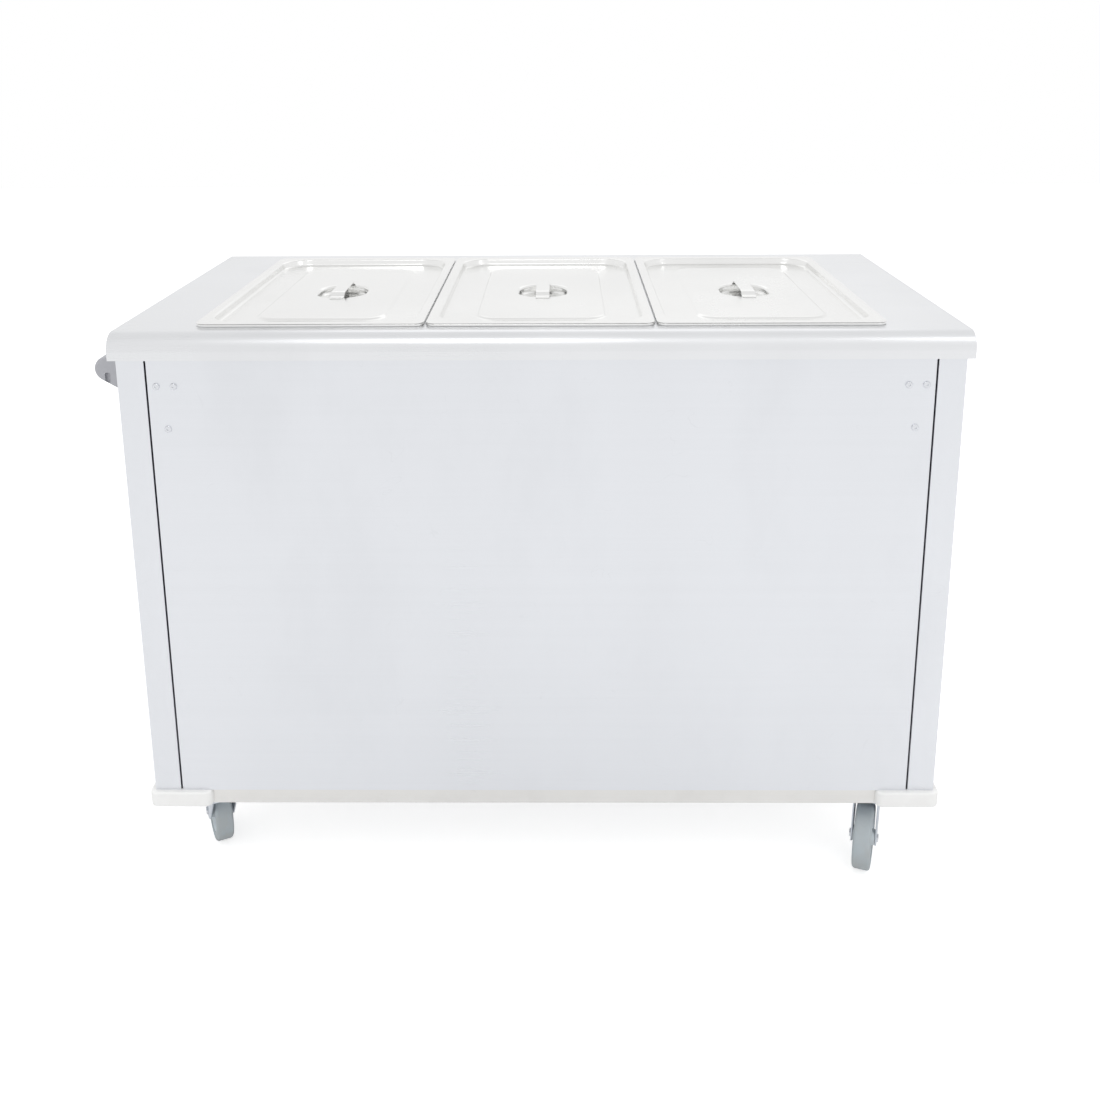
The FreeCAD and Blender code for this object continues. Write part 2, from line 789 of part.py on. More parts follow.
def make_knob(middle):
    """Round control knob with a raised pointer bar, bored for its spindle."""
    skirt = control_rod(middle, knob_gap, knob_gap + knob_skirt, knob_radius)
    barrel = control_rod(middle, knob_gap, knob_gap + knob_height, knob_barrel)
    rim = [edge for edge in barrel.Edges if edge.BoundBox.YMin > fascia_y + knob_height - knob_skirt]
    barrel = barrel.makeFillet(knob_round, rim)
    pointer = box(middle - pointer_width / 2, middle + pointer_width / 2, fascia_y + knob_gap,
                  fascia_y + knob_gap + knob_height + pointer_proud, control_level,
                  control_level + knob_barrel)
    bore = control_rod(middle, 0, spindle_length + seat, spindle_radius + running_clearance)
    return skirt.fuse([barrel, pointer]).cut(bore).removeSplitter()


def switch_body_width():
    """Width of the switch body behind its flange."""
    return switch_width - 2 * switch_flange


def switch_body_height():
    """Height of the switch body behind its flange."""
    return switch_height - 2 * switch_flange


def make_mains_switch():
    """Switch body with a flange, a well for the rocker and two pin holes."""
    flange = control_block(switch_x, switch_width, switch_height, 0, switch_flange)
    body = control_block(switch_x, switch_body_width(), switch_body_height(), -switch_depth, 0)
    well_high = rocker_height + 2 * rocker_play
    well = control_block(switch_x, rocker_width + 2 * seat, well_high, -rocker_depth - rocker_play,
                         switch_flange)
    reach = rocker_width / 2 + rocker_pin_length + seat
    pins = rod(V(switch_x - reach, fascia_y, control_level), V(switch_x + reach, fascia_y, control_level),
               rocker_pin_radius + running_clearance)
    return flange.fuse(body).cut(well).cut(pins).removeSplitter()


def make_switch_rocker():
    """Rocker with a shallow V face and a pin at each side, tilted to its off position."""
    high = rocker_height / 2
    front = rocker_depth / 2
    profile = [(fascia_y - front, control_level - high), (fascia_y + front, control_level - high),
               (fascia_y + front - rocker_dip, control_level), (fascia_y + front, control_level + high),
               (fascia_y - front, control_level + high)]
    rocker = polygon("yz", profile, switch_x - rocker_width / 2, rocker_width)
    reach = rocker_width / 2 + rocker_pin_length
    pin = rod(V(switch_x - reach, fascia_y, control_level), V(switch_x + reach, fascia_y, control_level),
              rocker_pin_radius)
    rocker = rocker.fuse(pin).removeSplitter()
    rocker.rotate(V(switch_x, fascia_y, control_level), V(1, 0, 0), -rocker_tilt)
    return rocker


def make_indicator_lamps():
    """Round lamps with domed lenses, pressed into the fascia."""
    lamps = []
    for middle in lamp_places():
        body = control_rod(middle, -lamp_depth, 0, lamp_radius)
        lens = control_rod(middle, 0, lamp_dome, lamp_radius + lamp_lip)
        rim = [edge for edge in lens.Edges if edge.BoundBox.YMin > fascia_y + lamp_dome / 2]
        lens = lens.makeFillet(lamp_round, rim)
        lamps.append(body.fuse(lens).removeSplitter())
    return lamps


def make_mains_gland():
    """Bored cable gland: a nose and a nut outside the fascia and a nut behind it."""
    shank = control_rod(gland_x, -gland_tail, gland_nut + gland_nose, gland_radius)
    outer_nut = hexagon(gland_x, 0, gland_nut)
    inner_nut = hexagon(gland_x, -panel_sheet - gland_nut, gland_nut)
    rim = [edge for edge in shank.Edges if edge.BoundBox.YMin > fascia_y + gland_nut]
    shank = shank.makeFillet(gland_round, rim)
    bore = control_rod(gland_x, -gland_tail, gland_nut + gland_nose, gland_bore)
    return shank.fuse([outer_nut, inner_nut]).cut(bore).removeSplitter()


def hexagon(middle, start, thickness):
    """Six-sided nut on the gland's axis."""
    corners = six_corners(middle, control_level, gland_nut_radius)
    return polygon("xz", corners, fascia_y + start, thickness)


def six_corners(across, along, radius):
    """Corners of a hexagon round a point."""
    turns = [math.tau * index / 6 for index in range(6)]
    return [(across + radius * math.cos(turn), along + radius * math.sin(turn)) for turn in turns]


def make_cupboard_heater():
    """Long sheathed element on the cupboard floor, along the plain side."""
    middle_y = cupboard_y + guard_margin + cupboard_element_spread / 2
    return hairpin(V(-cupboard_element_reach / 2, middle_y, 0), V(1, 0, 0), V(0, 1, 0), floor_top,
                   cupboard_element_reach, cupboard_element_spread)


def make_heater_guard():
    """Slotted cover over the cupboard's element."""
    back = cupboard_y
    front = cupboard_y + 2 * guard_margin + cupboard_element_spread
    top = floor_top + guard_height
    profile = [(front, floor_top), (front, top), (back, top)]
    half = cupboard_element_reach / 2 + guard_margin
    guard = folded_sheet("yz", profile, guard_sheet, bend, -half, 2 * half)
    pitch = 2 * half / (guard_slots + 1)
    for index in range(guard_slots):
        middle = -half + pitch * (index + 1)
        slot = slab(middle, (back + front) / 2, top - 2 * guard_sheet, top + guard_sheet, guard_slot_width,
                    cupboard_element_spread, guard_slot_corner)
        guard = guard.cut(slot)
    return guard


def tangent_spot(from_x, from_z, centre_x, centre_z, radius, side):
    """Where a line from a point touches a circle, on one side of it."""
    reach = math.hypot(centre_x - from_x, centre_z - from_z)
    to_centre = math.atan2(centre_z - from_z, centre_x - from_x)
    angle = to_centre + side * math.asin(radius / reach)
    length = math.sqrt(reach * reach - radius * radius)
    return (from_x + length * math.cos(angle), from_z + length * math.sin(angle))


def handle_screw_spots():
    """Where the handle's screws pass through the inside of the left-hand end panel."""
    inside = panel_sheet - half_width
    levels = (handle_level - handle_screw_drop, handle_level - handle_screw_drop + handle_screw_pitch)
    return [V(inside, side * handle_half_span, level) for side in (-1, 1) for level in levels]


def make_push_handle_brackets():
    """Moulded ends of the push handle: a round nose on a foot that slopes back to the panel."""
    foot_low = (-half_width, handle_level - bracket_foot_below)
    foot_high = (-half_width, handle_level + bracket_foot_above)
    under = tangent_spot(*foot_low, handle_x, handle_level, bracket_nose, 1)
    over = tangent_spot(*foot_high, handle_x, handle_level, bracket_nose, -1)
    start = -handle_half_span - bracket_width / 2
    web = polygon("xz", [foot_low, under, (handle_x, handle_level), over, foot_high], start, bracket_width)
    inner_face = V(handle_x, start + bracket_width, handle_level)
    nose = rod(V(handle_x, start, handle_level), inner_face, bracket_nose)
    bracket = nose.fuse(web).removeSplitter()
    outer_face = [edge for edge in bracket.Edges if edge.BoundBox.YMax < start + bracket_edge / 2
                  and edge.BoundBox.XMin < -half_width - bracket_edge]
    bracket = bracket.makeFillet(bracket_edge, outer_face)
    socket = rod(V(handle_x, -handle_half_span, handle_level), inner_face, handle_radius + running_clearance)
    low = handle_level - bracket_nose - slot_width / 4
    recess = slot_block(handle_x, low, start)
    bracket = bracket.cut(socket).cut(recess)
    for spot in handle_screw_spots()[:2]:
        hole_end = spot - V(handle_screw_bite, 0, 0)
        bracket = bracket.cut(rod(spot, hole_end, handle_screw_radius + running_clearance))
    return [bracket, mirrored(bracket, V(0, 1, 0))]


def slot_block(middle, low, start):
    """Round-ended recess in the outer face of a bracket."""
    lower = low + slot_width / 2
    upper = low + slot_length - slot_width / 2
    ends = [rod(V(middle, start, level), V(middle, start + slot_depth, level), slot_width / 2)
            for level in (lower, upper)]
    straight = box(middle - slot_width / 2, middle + slot_width / 2, start, start + slot_depth,
                   lower, upper)
    return straight.fuse(ends).removeSplitter()


def make_push_handle_tube():
    """Grip tube between the two brackets."""
    start = V(handle_x, -handle_half_span, handle_level)
    end = V(handle_x, handle_half_span, handle_level)
    return rod(start, end, handle_radius).cut(rod(start, end, handle_radius - handle_wall))


def make_handle_screws():
    """Screws from inside the end panel into the brackets."""
    screws = []
    for spot in handle_screw_spots():
        head = rod(spot, spot + V(handle_screw_head, 0, 0), 2 * handle_screw_radius)
        shank = rod(spot, spot - V(handle_screw_bite - seat, 0, 0), handle_screw_radius)
        screws.append(head.fuse(shank).removeSplitter())
    return screws


def make_pan(middle):
    """Full-size food pan with a flat rim, a turned-down edge and sloping sides."""
    flange = slab(middle, well_y, pan_top - pan_sheet, pan_top, pan_width, pan_length, pan_corner)
    edge = slab(middle, well_y, worktop_height + seat, pan_top, pan_width, pan_length, pan_corner)
    edge = edge.cut(slab(middle, well_y, worktop_height, pan_top, pan_width - 2 * pan_sheet,
                         pan_length - 2 * pan_sheet, pan_corner - pan_sheet))
    outer = tub(middle, well_y, pan_levels(pan_sheet, pan_top - pan_sheet))
    inner = tub(middle, well_y, pan_levels(0, pan_top + pan_sheet))
    return flange.fuse([edge, outer]).cut(inner).removeSplitter()


def pan_levels(skin, top):
    """Sections of the pan from its floor up: a rounded foot and a sloping wall."""
    floor = pan_top - pan_depth + pan_sheet - skin
    wide = pan_mouth_width + 2 * skin
    long = pan_mouth_length + 2 * skin
    corner = pan_inner_corner + skin
    foot = foot_levels(floor, pan_foot, wide - 2 * pan_taper, long - 2 * pan_taper, corner - pan_taper)
    return foot + [(top, wide, long, corner)]


def foot_levels(floor, radius, width, length, corner):
    """Sections of a quarter-round foot, from its floor up to where its wall begins."""
    levels = []
    for step in range(foot_steps + 1):
        turn = math.pi / 2 * step / foot_steps
        inset = radius * (1 - math.sin(turn))
        rise = radius * (1 - math.cos(turn))
        levels.append((floor + rise, width - 2 * inset, length - 2 * inset, corner - inset))
    return levels


def make_lid(middle):
    """Flat lid with a sunk panel, a raised field, a finger dish and a strap handle over the dish."""
    flange = slab(middle, well_y, lid_top - lid_sheet, lid_top, pan_width, pan_length, pan_corner)
    mouth_width = pan_mouth_width - 2 * lid_play
    mouth_length = pan_mouth_length - 2 * lid_play
    sunk_outer = lid_levels(middle, mouth_width, mouth_length, lid_floor - lid_sheet,
                            lid_top - lid_sheet, 0)
    sunk_inner = lid_levels(middle, mouth_width, mouth_length, lid_floor, lid_top, lid_sheet)
    field_width = pan_width - 2 * field_inset
    field_length = pan_length - 2 * field_inset
    field = tub(middle, well_y, field_levels(field_width, field_length, lid_floor, field_top, 0))
    field_under = tub(middle, well_y, field_levels(field_width, field_length, lid_floor - lid_sheet,
                                                   field_top - lid_sheet, lid_sheet))
    dish_outer = tub(middle, well_y, dish_levels(dish_floor - lid_sheet, lid_sheet))
    dish_inner = tub(middle, well_y, dish_levels(dish_floor, 0))
    lid = flange.fuse(sunk_outer).cut(sunk_inner).fuse(field).cut(field_under)
    return lid.fuse(dish_outer).cut(dish_inner).removeSplitter()


def lid_levels(middle, width, length, low, high, skin):
    """Sloping-sided block that makes one skin of the sunk panel."""
    corner = pan_inner_corner - lid_play
    return tub(middle, well_y, [
        (low, width - 2 * lid_wall_taper - 2 * skin, length - 2 * lid_wall_taper - 2 * skin, corner - skin),
        (high, width - 2 * skin, length - 2 * skin, corner - skin)])


def field_levels(width, length, low, high, skin):
    """Sections of the raised field, drawn in a little towards its top."""
    return [(low, width - 2 * skin, length - 2 * skin, field_corner - skin),
            (high, width - 2 * field_rise - 2 * skin, length - 2 * field_rise - 2 * skin,
             field_corner - skin)]


def dish_levels(floor, skin):
    """Sections of the finger dish, an oval bowl."""
    return foot_levels(floor, dish_depth, dish_width + 2 * skin, dish_length + 2 * skin, dish_corner + skin)


def make_lid_handle(middle):
    """Strap that bridges the finger dish, with its feet on the raised field."""
    half = dish_length / 2
    flat = half - strap_ramp
    profile = [(well_y - half - strap_foot, field_top), (well_y - half, field_top),
               (well_y - flat, field_top + strap_rise), (well_y + flat, field_top + strap_rise),
               (well_y + half, field_top), (well_y + half + strap_foot, field_top)]
    return folded_sheet("yz", profile, strap_sheet, strap_bend, middle - strap_width / 2, strap_width)


def castor_places():
    """Pivot and heading of each castor by name."""
    return {"front_left": (-castor_x, -castor_y, front_left_heading),
            "front_right": (castor_x, -castor_y, front_right_heading),
            "rear_left": (-castor_x, castor_y, rear_left_heading),
            "rear_right": (castor_x, castor_y, rear_right_heading)}


def at_castor(shape, name):
    """Turn a castor piece to its heading and move it under its pivot."""
    pivot_x, pivot_y, heading = castor_places()[name]
    shape.rotate(V(0, 0, 0), V(0, 0, 1), heading)
    shape.translate(V(pivot_x, pivot_y, 0))
    return shape


def bolt_spots():
    """Middles of all the castor bolts."""
    return [V(pivot_x + sx * castor_bolt_x / 2, pivot_y + sy * castor_bolt_y / 2, 0)
            for pivot_x, pivot_y, heading in castor_places().values() for sx in (-1, 1) for sy in (-1, 1)]


def castor_bolt_holes():
    """Holes for the castor bolts through the plates and the base."""
    low = castor_height - 2 * castor_plate_sheet
    return Part.makeCompound([rod(V(spot.x, spot.y, low), V(spot.x, spot.y, castor_height + 2 * base_wall),
                                  castor_bolt_radius + running_clearance) for spot in bolt_spots()])


def make_castor_plates():
    """Top plates of the castors, each with its race and king pin."""
    plates = []
    for pivot_x, pivot_y, heading in castor_places().values():
        low = castor_height - castor_plate_sheet
        plate = slab(pivot_x, pivot_y, low, castor_height, castor_plate_x, castor_plate_y,
                     castor_plate_corner)
        race = rod(V(pivot_x, pivot_y, low - race_height), V(pivot_x, pivot_y, low), race_radius)
        head_top = V(pivot_x, pivot_y, crown_top - crown_sheet - seat)
        pin_end = head_top - V(0, 0, crown_sheet)
        pin = rod(pin_end, V(pivot_x, pivot_y, low), king_pin_radius)
        head = rod(pin_end, head_top, king_pin_head)
        plates.append(plate.fuse([race, pin, head]).cut(castor_bolt_holes()).removeSplitter())
    return plates


def make_castor_bolts():
    """Bolts that hold the castor plates to the base."""
    bolts = []
    under = castor_height - castor_plate_sheet
    for spot in bolt_spots():
        corners = six_corners(spot.x, spot.y, castor_bolt_head)
        head = polygon("xy", corners, under - castor_bolt_head_height, castor_bolt_head_height)
        tip = V(spot.x, spot.y, castor_height + 2 * base_wall)
        shank = rod(V(spot.x, spot.y, under), tip, castor_bolt_radius)
        bolts.append(head.fuse(shank).removeSplitter())
    return bolts


def make_fork(name, braked):
    """Swivel head, crown and two legs, with the wheel's axle through them."""
    head = rod(V(0, 0, crown_top), V(0, 0, fork_top), race_radius)
    crown = box(-crown_radius, crown_radius, -leg_outer, leg_outer, crown_top - crown_sheet, crown_top)
    leg_outline = [(-crown_radius, crown_top), (crown_radius, crown_top),
                   tangent_spot(crown_radius, crown_top, castor_trail, wheel_radius, fork_boss, 1),
                   tangent_spot(-crown_radius, crown_top, castor_trail, wheel_radius, fork_boss, -1)]
    legs = []
    for start in (-leg_outer, leg_outer - fork_sheet):
        legs.append(polygon("xz", leg_outline, start, fork_sheet))
        end = start + fork_sheet
        legs.append(rod(V(castor_trail, start, wheel_radius), V(castor_trail, end, wheel_radius), fork_boss))
    if braked:
        legs += [pedal_pin(side) for side in (-1, 1)]
    fork = head.fuse([crown] + legs)
    below_crown = V(0, 0, crown_top - 2 * crown_sheet)
    pin_hole = rod(below_crown, V(0, 0, fork_top), king_pin_radius + running_clearance)
    axle_hole = rod(V(castor_trail, -leg_outer, wheel_radius), V(castor_trail, leg_outer, wheel_radius),
                    axle_radius + running_clearance)
    fork = fork.cut(pin_hole).cut(axle_hole).removeSplitter()
    return [at_castor(fork, name), at_castor(make_axle(), name)]


def pedal_pin(side):
    """Stub on a fork leg that the brake pedal turns on."""
    start = V(pedal_pivot_u, side * (leg_outer - fork_sheet / 2), pedal_pivot_z)
    length = fork_sheet / 2 + seat + pedal_sheet + pedal_pin_proud
    return rod(start, start + V(0, side * length, 0), pedal_pin_radius)


def make_axle():
    """Wheel axle with a head at each end."""
    end = leg_outer + axle_head_height
    shank = rod(V(castor_trail, -end, wheel_radius), V(castor_trail, end, wheel_radius), axle_radius)
    heads = [rod(V(castor_trail, side * leg_outer, wheel_radius), V(castor_trail, side * end, wheel_radius),
                 axle_head) for side in (-1, 1)]
    return shank.fuse(heads).removeSplitter()


def wheel_ring(outer, inner, width):
    """Ring round the axle."""
    low = V(castor_trail, -width / 2, wheel_radius)
    high = V(castor_trail, width / 2, wheel_radius)
    return rod(low, high, outer).cut(rod(low, high, inner))


def make_wheel_core(name):
    """Moulded wheel centre: a rim, a web and a bored boss."""
    bore = axle_radius + running_clearance
    core_radius = wheel_radius - tyre_thickness
    rim = wheel_ring(core_radius, core_radius - core_rim, tyre_width - 2 * core_inset)
    web = wheel_ring(core_radius - core_rim / 2, bore, core_web)
    boss = wheel_ring(core_boss_radius, bore, fork_gap - 2 * hub_play)
    return at_castor(rim.fuse([web, boss]).removeSplitter(), name)


def make_tyre(name):
    """Tyre with rounded shoulders, moulded round the wheel's centre."""
    low = V(castor_trail, -tyre_width / 2, wheel_radius)
    high = V(castor_trail, tyre_width / 2, wheel_radius)
    tread = rod(low, high, wheel_radius)
    shoulders = [edge for edge in tread.Edges if edge.BoundBox.YLength < tyre_shoulder / 2]
    tread = tread.makeFillet(tyre_shoulder, shoulders)
    return at_castor(tread.cut(rod(low, high, wheel_radius - tyre_thickness)), name)


def make_brake_pedal(name):
    """Foot pedal with two arms outside the fork and a tread plate past the wheel."""
    u0 = pedal_pivot_u
    z0 = pedal_pivot_z
    top = z0 + pedal_arm
    knee = u0 + pedal_knee
    tip = u0 + pedal_reach
    side_profile = [(u0, top), (knee, top), (tip, top - pedal_drop), (tip, top - pedal_drop - pedal_arm),
                    (knee, z0 - pedal_knee_drop), (u0, z0 - pedal_arm)]
    arms = []
    for start in (-leg_outer - seat - pedal_sheet, leg_outer + seat):
        arm = polygon("xz", side_profile, start, pedal_sheet)
        boss = rod(V(u0, start, z0), V(u0, start + pedal_sheet, z0), pedal_arm)
        arms.append(arm.fuse(boss))
    width = leg_outer + seat + pedal_sheet
    tread = [(tip, top - pedal_drop), (knee, top), (knee - pedal_shoe, top)]
    plate = folded_sheet("xz", tread, pedal_sheet, bend, -width, 2 * width)
    bore = rod(V(u0, -2 * width, z0), V(u0, 2 * width, z0), pedal_pin_radius + running_clearance)
    return at_castor(arms[0].fuse([arms[1], plate]).cut(bore).removeSplitter(), name)


def make_parts():
    """Every sub-part by name, each a shape or a list of shapes."""
    left_x = door_end_gap - liner_x
    right_x = liner_x - door_end_gap - door_width
    parts = {
        "worktop": make_worktop(),
        "well_tank": make_well_tank(),
        "pan_divider_bars": make_pan_divider_bars(),
        "well_heaters": make_well_heaters(),
        "left_end_panel": make_left_end_panel(),
        "right_end_panel": mirrored(make_end_panel(), V(1, 0, 0)),
        "customer_panel": make_customer_panel(),
        "panel_corner_brackets": make_panel_corner_brackets(),
        "panel_screws": make_panel_screws(),
        "base_front_rail": make_base_front_rail(),
        "base_back_rail": make_base_back_rail(),
        "castor_bearers": make_castor_bearers(),
        "corner_bumpers": make_corner_bumpers(),
        "cupboard_floor": make_cupboard_floor(),
        "cupboard_ceiling": make_cupboard_ceiling(),
        "side_liners": make_side_liners(),
        "customer_side_liner": make_customer_side_liner(),
        "shelf": make_shelf(),
        "shelf_rails": make_shelf_rails(),
        "door_top_track": make_door_top_track(),
        "door_bottom_track": make_door_bottom_track(),
        "left_door": make_door(left_x, outer_door_y),
        "right_door": make_door(right_x, inner_door_y),
        "left_door_pull": make_door_pull(left_x, outer_door_y),
        "right_door_pull": make_door_pull(right_x, inner_door_y),
        "control_fascia": make_control_fascia(),
        "thermostats": make_thermostats(),
        "cupboard_knob": make_knob(cupboard_knob_x),
        "well_knob": make_knob(well_knob_x),
        "mains_switch": make_mains_switch(),
        "switch_rocker": make_switch_rocker(),
        "indicator_lamps": make_indicator_lamps(),
        "mains_gland": make_mains_gland(),
        "cupboard_heater": make_cupboard_heater(),
        "heater_guard": make_heater_guard(),
        "push_handle_tube": make_push_handle_tube(),
        "push_handle_brackets": make_push_handle_brackets(),
        "handle_screws": make_handle_screws(),
        "castor_plates": make_castor_plates(),
        "castor_bolts": make_castor_bolts(),
    }
    for name, middle in zip(("left", "middle", "right"), pan_centres):
        parts[name + "_pan"] = make_pan(middle)
        parts[name + "_lid"] = [make_lid(middle), make_lid_handle(middle)]
    for name in castor_places():
        braked = name.startswith("rear")
        parts[name + "_fork"] = make_fork(name, braked)
        parts[name + "_wheel_core"] = make_wheel_core(name)
        parts[name + "_tyre"] = make_tyre(name)
        if braked:
            parts[name + "_brake_pedal"] = make_brake_pedal(name)
    return parts


def main():
    """Centre the trolley over the origin and write one file for each sub-part."""
    parts = make_parts()
    joined = {name: Part.makeCompound(piece) if isinstance(piece, list) else piece
              for name, piece in parts.items()}
    bounds = Part.makeCompound(list(joined.values())).optimalBoundingBox(False, False)
    middle = V((bounds.XMin + bounds.XMax) / 2, (bounds.YMin + bounds.YMax) / 2, 0)
    os.makedirs("parts", exist_ok=True)
    for name, shape in joined.items():
        shape.translate(middle * -1)
        shape.exportStep("parts/" + name + ".step")
        print(name, "solids", len(shape.Solids), "valid", shape.isValid(), "volume", round(shape.Volume, 1))
    print("files", len(joined), "moved by", middle * -1)
    print("size", bounds.XLength, bounds.YLength, bounds.ZLength)


if __name__ == "__main__":
    main()
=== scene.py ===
"""Looks of the hostess trolley: its visible pieces, their finishes and a plain studio.

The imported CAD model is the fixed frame. Lengths are in metres, +X is the right-hand end, -Y the
customer side and +Z is up. Pieces that need softer or fuller shapes than the frame's solids are
modelled here and ride on the frame's bodies; the rest of the frame gets its finishes here.
"""

import json
import math

import bmesh
import bpy
from mathutils import Matrix, Vector

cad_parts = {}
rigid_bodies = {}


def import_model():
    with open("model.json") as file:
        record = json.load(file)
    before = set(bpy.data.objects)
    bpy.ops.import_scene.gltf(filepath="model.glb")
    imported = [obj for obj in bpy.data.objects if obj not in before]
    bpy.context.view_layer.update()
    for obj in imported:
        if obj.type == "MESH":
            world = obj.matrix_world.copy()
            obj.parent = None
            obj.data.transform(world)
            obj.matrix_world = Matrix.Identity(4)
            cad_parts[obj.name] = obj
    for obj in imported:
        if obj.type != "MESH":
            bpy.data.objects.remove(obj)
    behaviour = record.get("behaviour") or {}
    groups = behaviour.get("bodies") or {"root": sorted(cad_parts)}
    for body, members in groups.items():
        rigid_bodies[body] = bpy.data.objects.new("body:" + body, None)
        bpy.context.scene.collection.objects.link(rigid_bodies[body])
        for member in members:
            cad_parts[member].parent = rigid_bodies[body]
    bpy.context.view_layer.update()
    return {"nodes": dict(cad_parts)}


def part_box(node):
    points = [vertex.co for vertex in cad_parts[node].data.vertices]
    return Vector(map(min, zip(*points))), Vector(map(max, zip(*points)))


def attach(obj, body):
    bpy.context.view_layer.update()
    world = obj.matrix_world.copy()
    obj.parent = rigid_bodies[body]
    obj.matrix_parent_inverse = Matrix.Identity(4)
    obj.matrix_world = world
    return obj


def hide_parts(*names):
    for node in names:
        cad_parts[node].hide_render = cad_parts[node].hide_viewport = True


bl_info = {
    "name": "Hostess trolley",
    "version": (1, 0, 0),
    "blender": (4, 5, 0),
    "location": "3D View > Sidebar > Trolley",
    "description": "Builds the visible pieces, finishes and studio of a hostess trolley",
    "category": "Object",
}

MM = 0.001
RIBS = 6  # in each wheel centre
TICKS, TICK_STEP = 19, 15  # of a knob's printed scale, and degrees between two
SIDES = ("left", "middle", "right")
CASTORS = ("front_left", "front_right", "rear_left", "rear_right")

for leftover in list(bpy.data.objects):
    bpy.data.objects.remove(leftover)
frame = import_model()


def middle_of(node):
    """Middle of a frame node's box."""
    return tuple((low + high) / 2 for low, high in zip(*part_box(node)))


TOP_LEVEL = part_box("worktop")[1].z
CENTRE_X, CENTRE_Y, _ = middle_of("worktop")
TOWARD_OPERATOR = Matrix.Rotation(-math.pi / 2, 4, "X")
TOWARD_CUSTOMER = Matrix.Rotation(math.pi / 2, 4, "X")


def tone(red, green, blue):
    """Scene-linear colour of a display colour given from 0 to 255."""
    shares = [value / 255 for value in (red, green, blue)]
    return tuple(s / 12.92 if s <= 0.04045 else ((s + 0.055) / 1.055) ** 2.4 for s in shares)


def length(label, millimetres):
    """Length property with a default given in millimetres."""
    return bpy.props.FloatProperty(name=label, default=millimetres * MM, unit="LENGTH", subtype="DISTANCE",
                                   min=0.0, precision=4)


def colour(label, red, green, blue):
    """Colour property with a display-colour default."""
    return bpy.props.FloatVectorProperty(name=label, default=tone(red, green, blue), subtype="COLOR", size=3,
                                         min=0.0, max=1.0)


def turn(label, degrees):
    """Angle property with a default given in degrees."""
    return bpy.props.FloatProperty(name=label, default=math.radians(degrees), subtype="ANGLE")


class TrolleyPans(bpy.types.PropertyGroup):
    """Sizes of the three food pans."""

    sheet: length("Thickness of the pan's steel", 0.8)
    rim_corner: length("Corner radius of the flat rim", 14)
    rim_width: length("From the rim's edge to the mouth", 12.5)
    rim_roll: length("Radius of the rim's turned-down edge", 1.4)
    mouth_corner: length("Corner radius of the mouth", 48)
    mouth_roll: length("Radius where the rim turns into the wall", 2.4)
    wall_taper: length("How far each wall leans in at the floor", 9)
    foot: length("Radius where the walls meet the floor", 12)


class TrolleyLids(bpy.types.PropertyGroup):
    """Sizes of the three lids and their strap handles."""

    sheet: length("Thickness of the lid's steel", 0.8)
    play: length("Clearance of the sunk panel in the pan's mouth", 2)
    recess: length("Depth of the sunk panel", 11)
    wall_taper: length("How far the recess wall leans in", 3)
    press_radius: length("Radius of the pressed edges", 3)
    field_inset: length("From the rim to the raised field", 66)
    field_rise: length("Height of the raised field", 3)
    field_corner: length("Corner radius of the raised field", 30)
    dish_width: length("Width of the finger dish", 78)
    dish_length: length("Length of the finger dish", 100)
    dish_depth: length("Depth of the finger dish", 12)
    dish_corner: length("Corner radius of the finger dish", 38.5)
    dish_edge: length("Radius where the field turns into the dish", 4.5)
    strap_width: length("Width of the strap handle", 22)
    strap_sheet: length("Thickness of the strap handle", 1.2)
    strap_rise: length("Height of the strap's arch", 6.4)
    strap_ramp: length("Length of the strap's two slopes", 9.6)
    strap_foot: length("Length of each welded foot", 12)
    strap_bend: length("Radius of the strap's bends", 4)


class TrolleyCastors(bpy.types.PropertyGroup):
    """Sizes of the four castors."""

    spread_x: length("From the middle to a castor's pivot, along the trolley", 513.5)
    spread_y: length("From the middle to a castor's pivot, across the trolley", 250)
    trail: length("From the pivot to the axle", 36)
    wheel_radius: length("Outer radius of the tyre", 50)
    tyre_width: length("Width of the tyre", 27)
    tyre_depth: length("From the tread to the wheel's centre", 14)
    shoulder: length("Radius of the tyre's shoulders", 5)
    leg_gap: length("Between the insides of the two legs", 34)
    leg_sheet: length("Thickness of the fork", 2.5)
    crown_top: length("Height of the fork's crown", 108.1)
    crown_half: length("Half the crown's length", 32)
    boss: length("Radius of a leg's rounded end", 12)
    race: length("Radius of the swivel head", 28)
    head_top: length("Height of the swivel head", 114.1)
    front_left: turn("The way the front left wheel trails", 116)
    front_right: turn("The way the front right wheel trails", 250)
    rear_left: turn("The way the rear left wheel trails", 70)
    rear_right: turn("The way the rear right wheel trails", 296)


class TrolleyFittings(bpy.types.PropertyGroup):
    """Sizes of the screws, controls and finger pulls."""

    screw_radius: length("Radius of a dome head", 5.2)
    screw_height: length("Height of a dome head", 2.6)
    screw_outer: length("From the middle to the outer screws", 537.5)
    screw_inner: length("From the middle to the inner screws", 513)
    screw_upper: length("Upper screws below the worktop", 76)
    screw_lower: length("Lower screws below the worktop", 138.5)
    knob_skirt: length("Radius of a knob's skirt", 22)
    knob_barrel: length("Radius of a knob's barrel", 17.6)
    knob_height: length("Height of a knob", 19)
    lamp_radius: length("Radius of a lamp's lens", 7.5)
    pull_width: length("Width of a finger cup's flange", 106)
    pull_height: length("Height of a finger cup's flange", 40)
    pull_depth: length("Depth of a finger cup", 11)
    pull_flange: length("Width of a finger cup's flange round its mouth", 6)


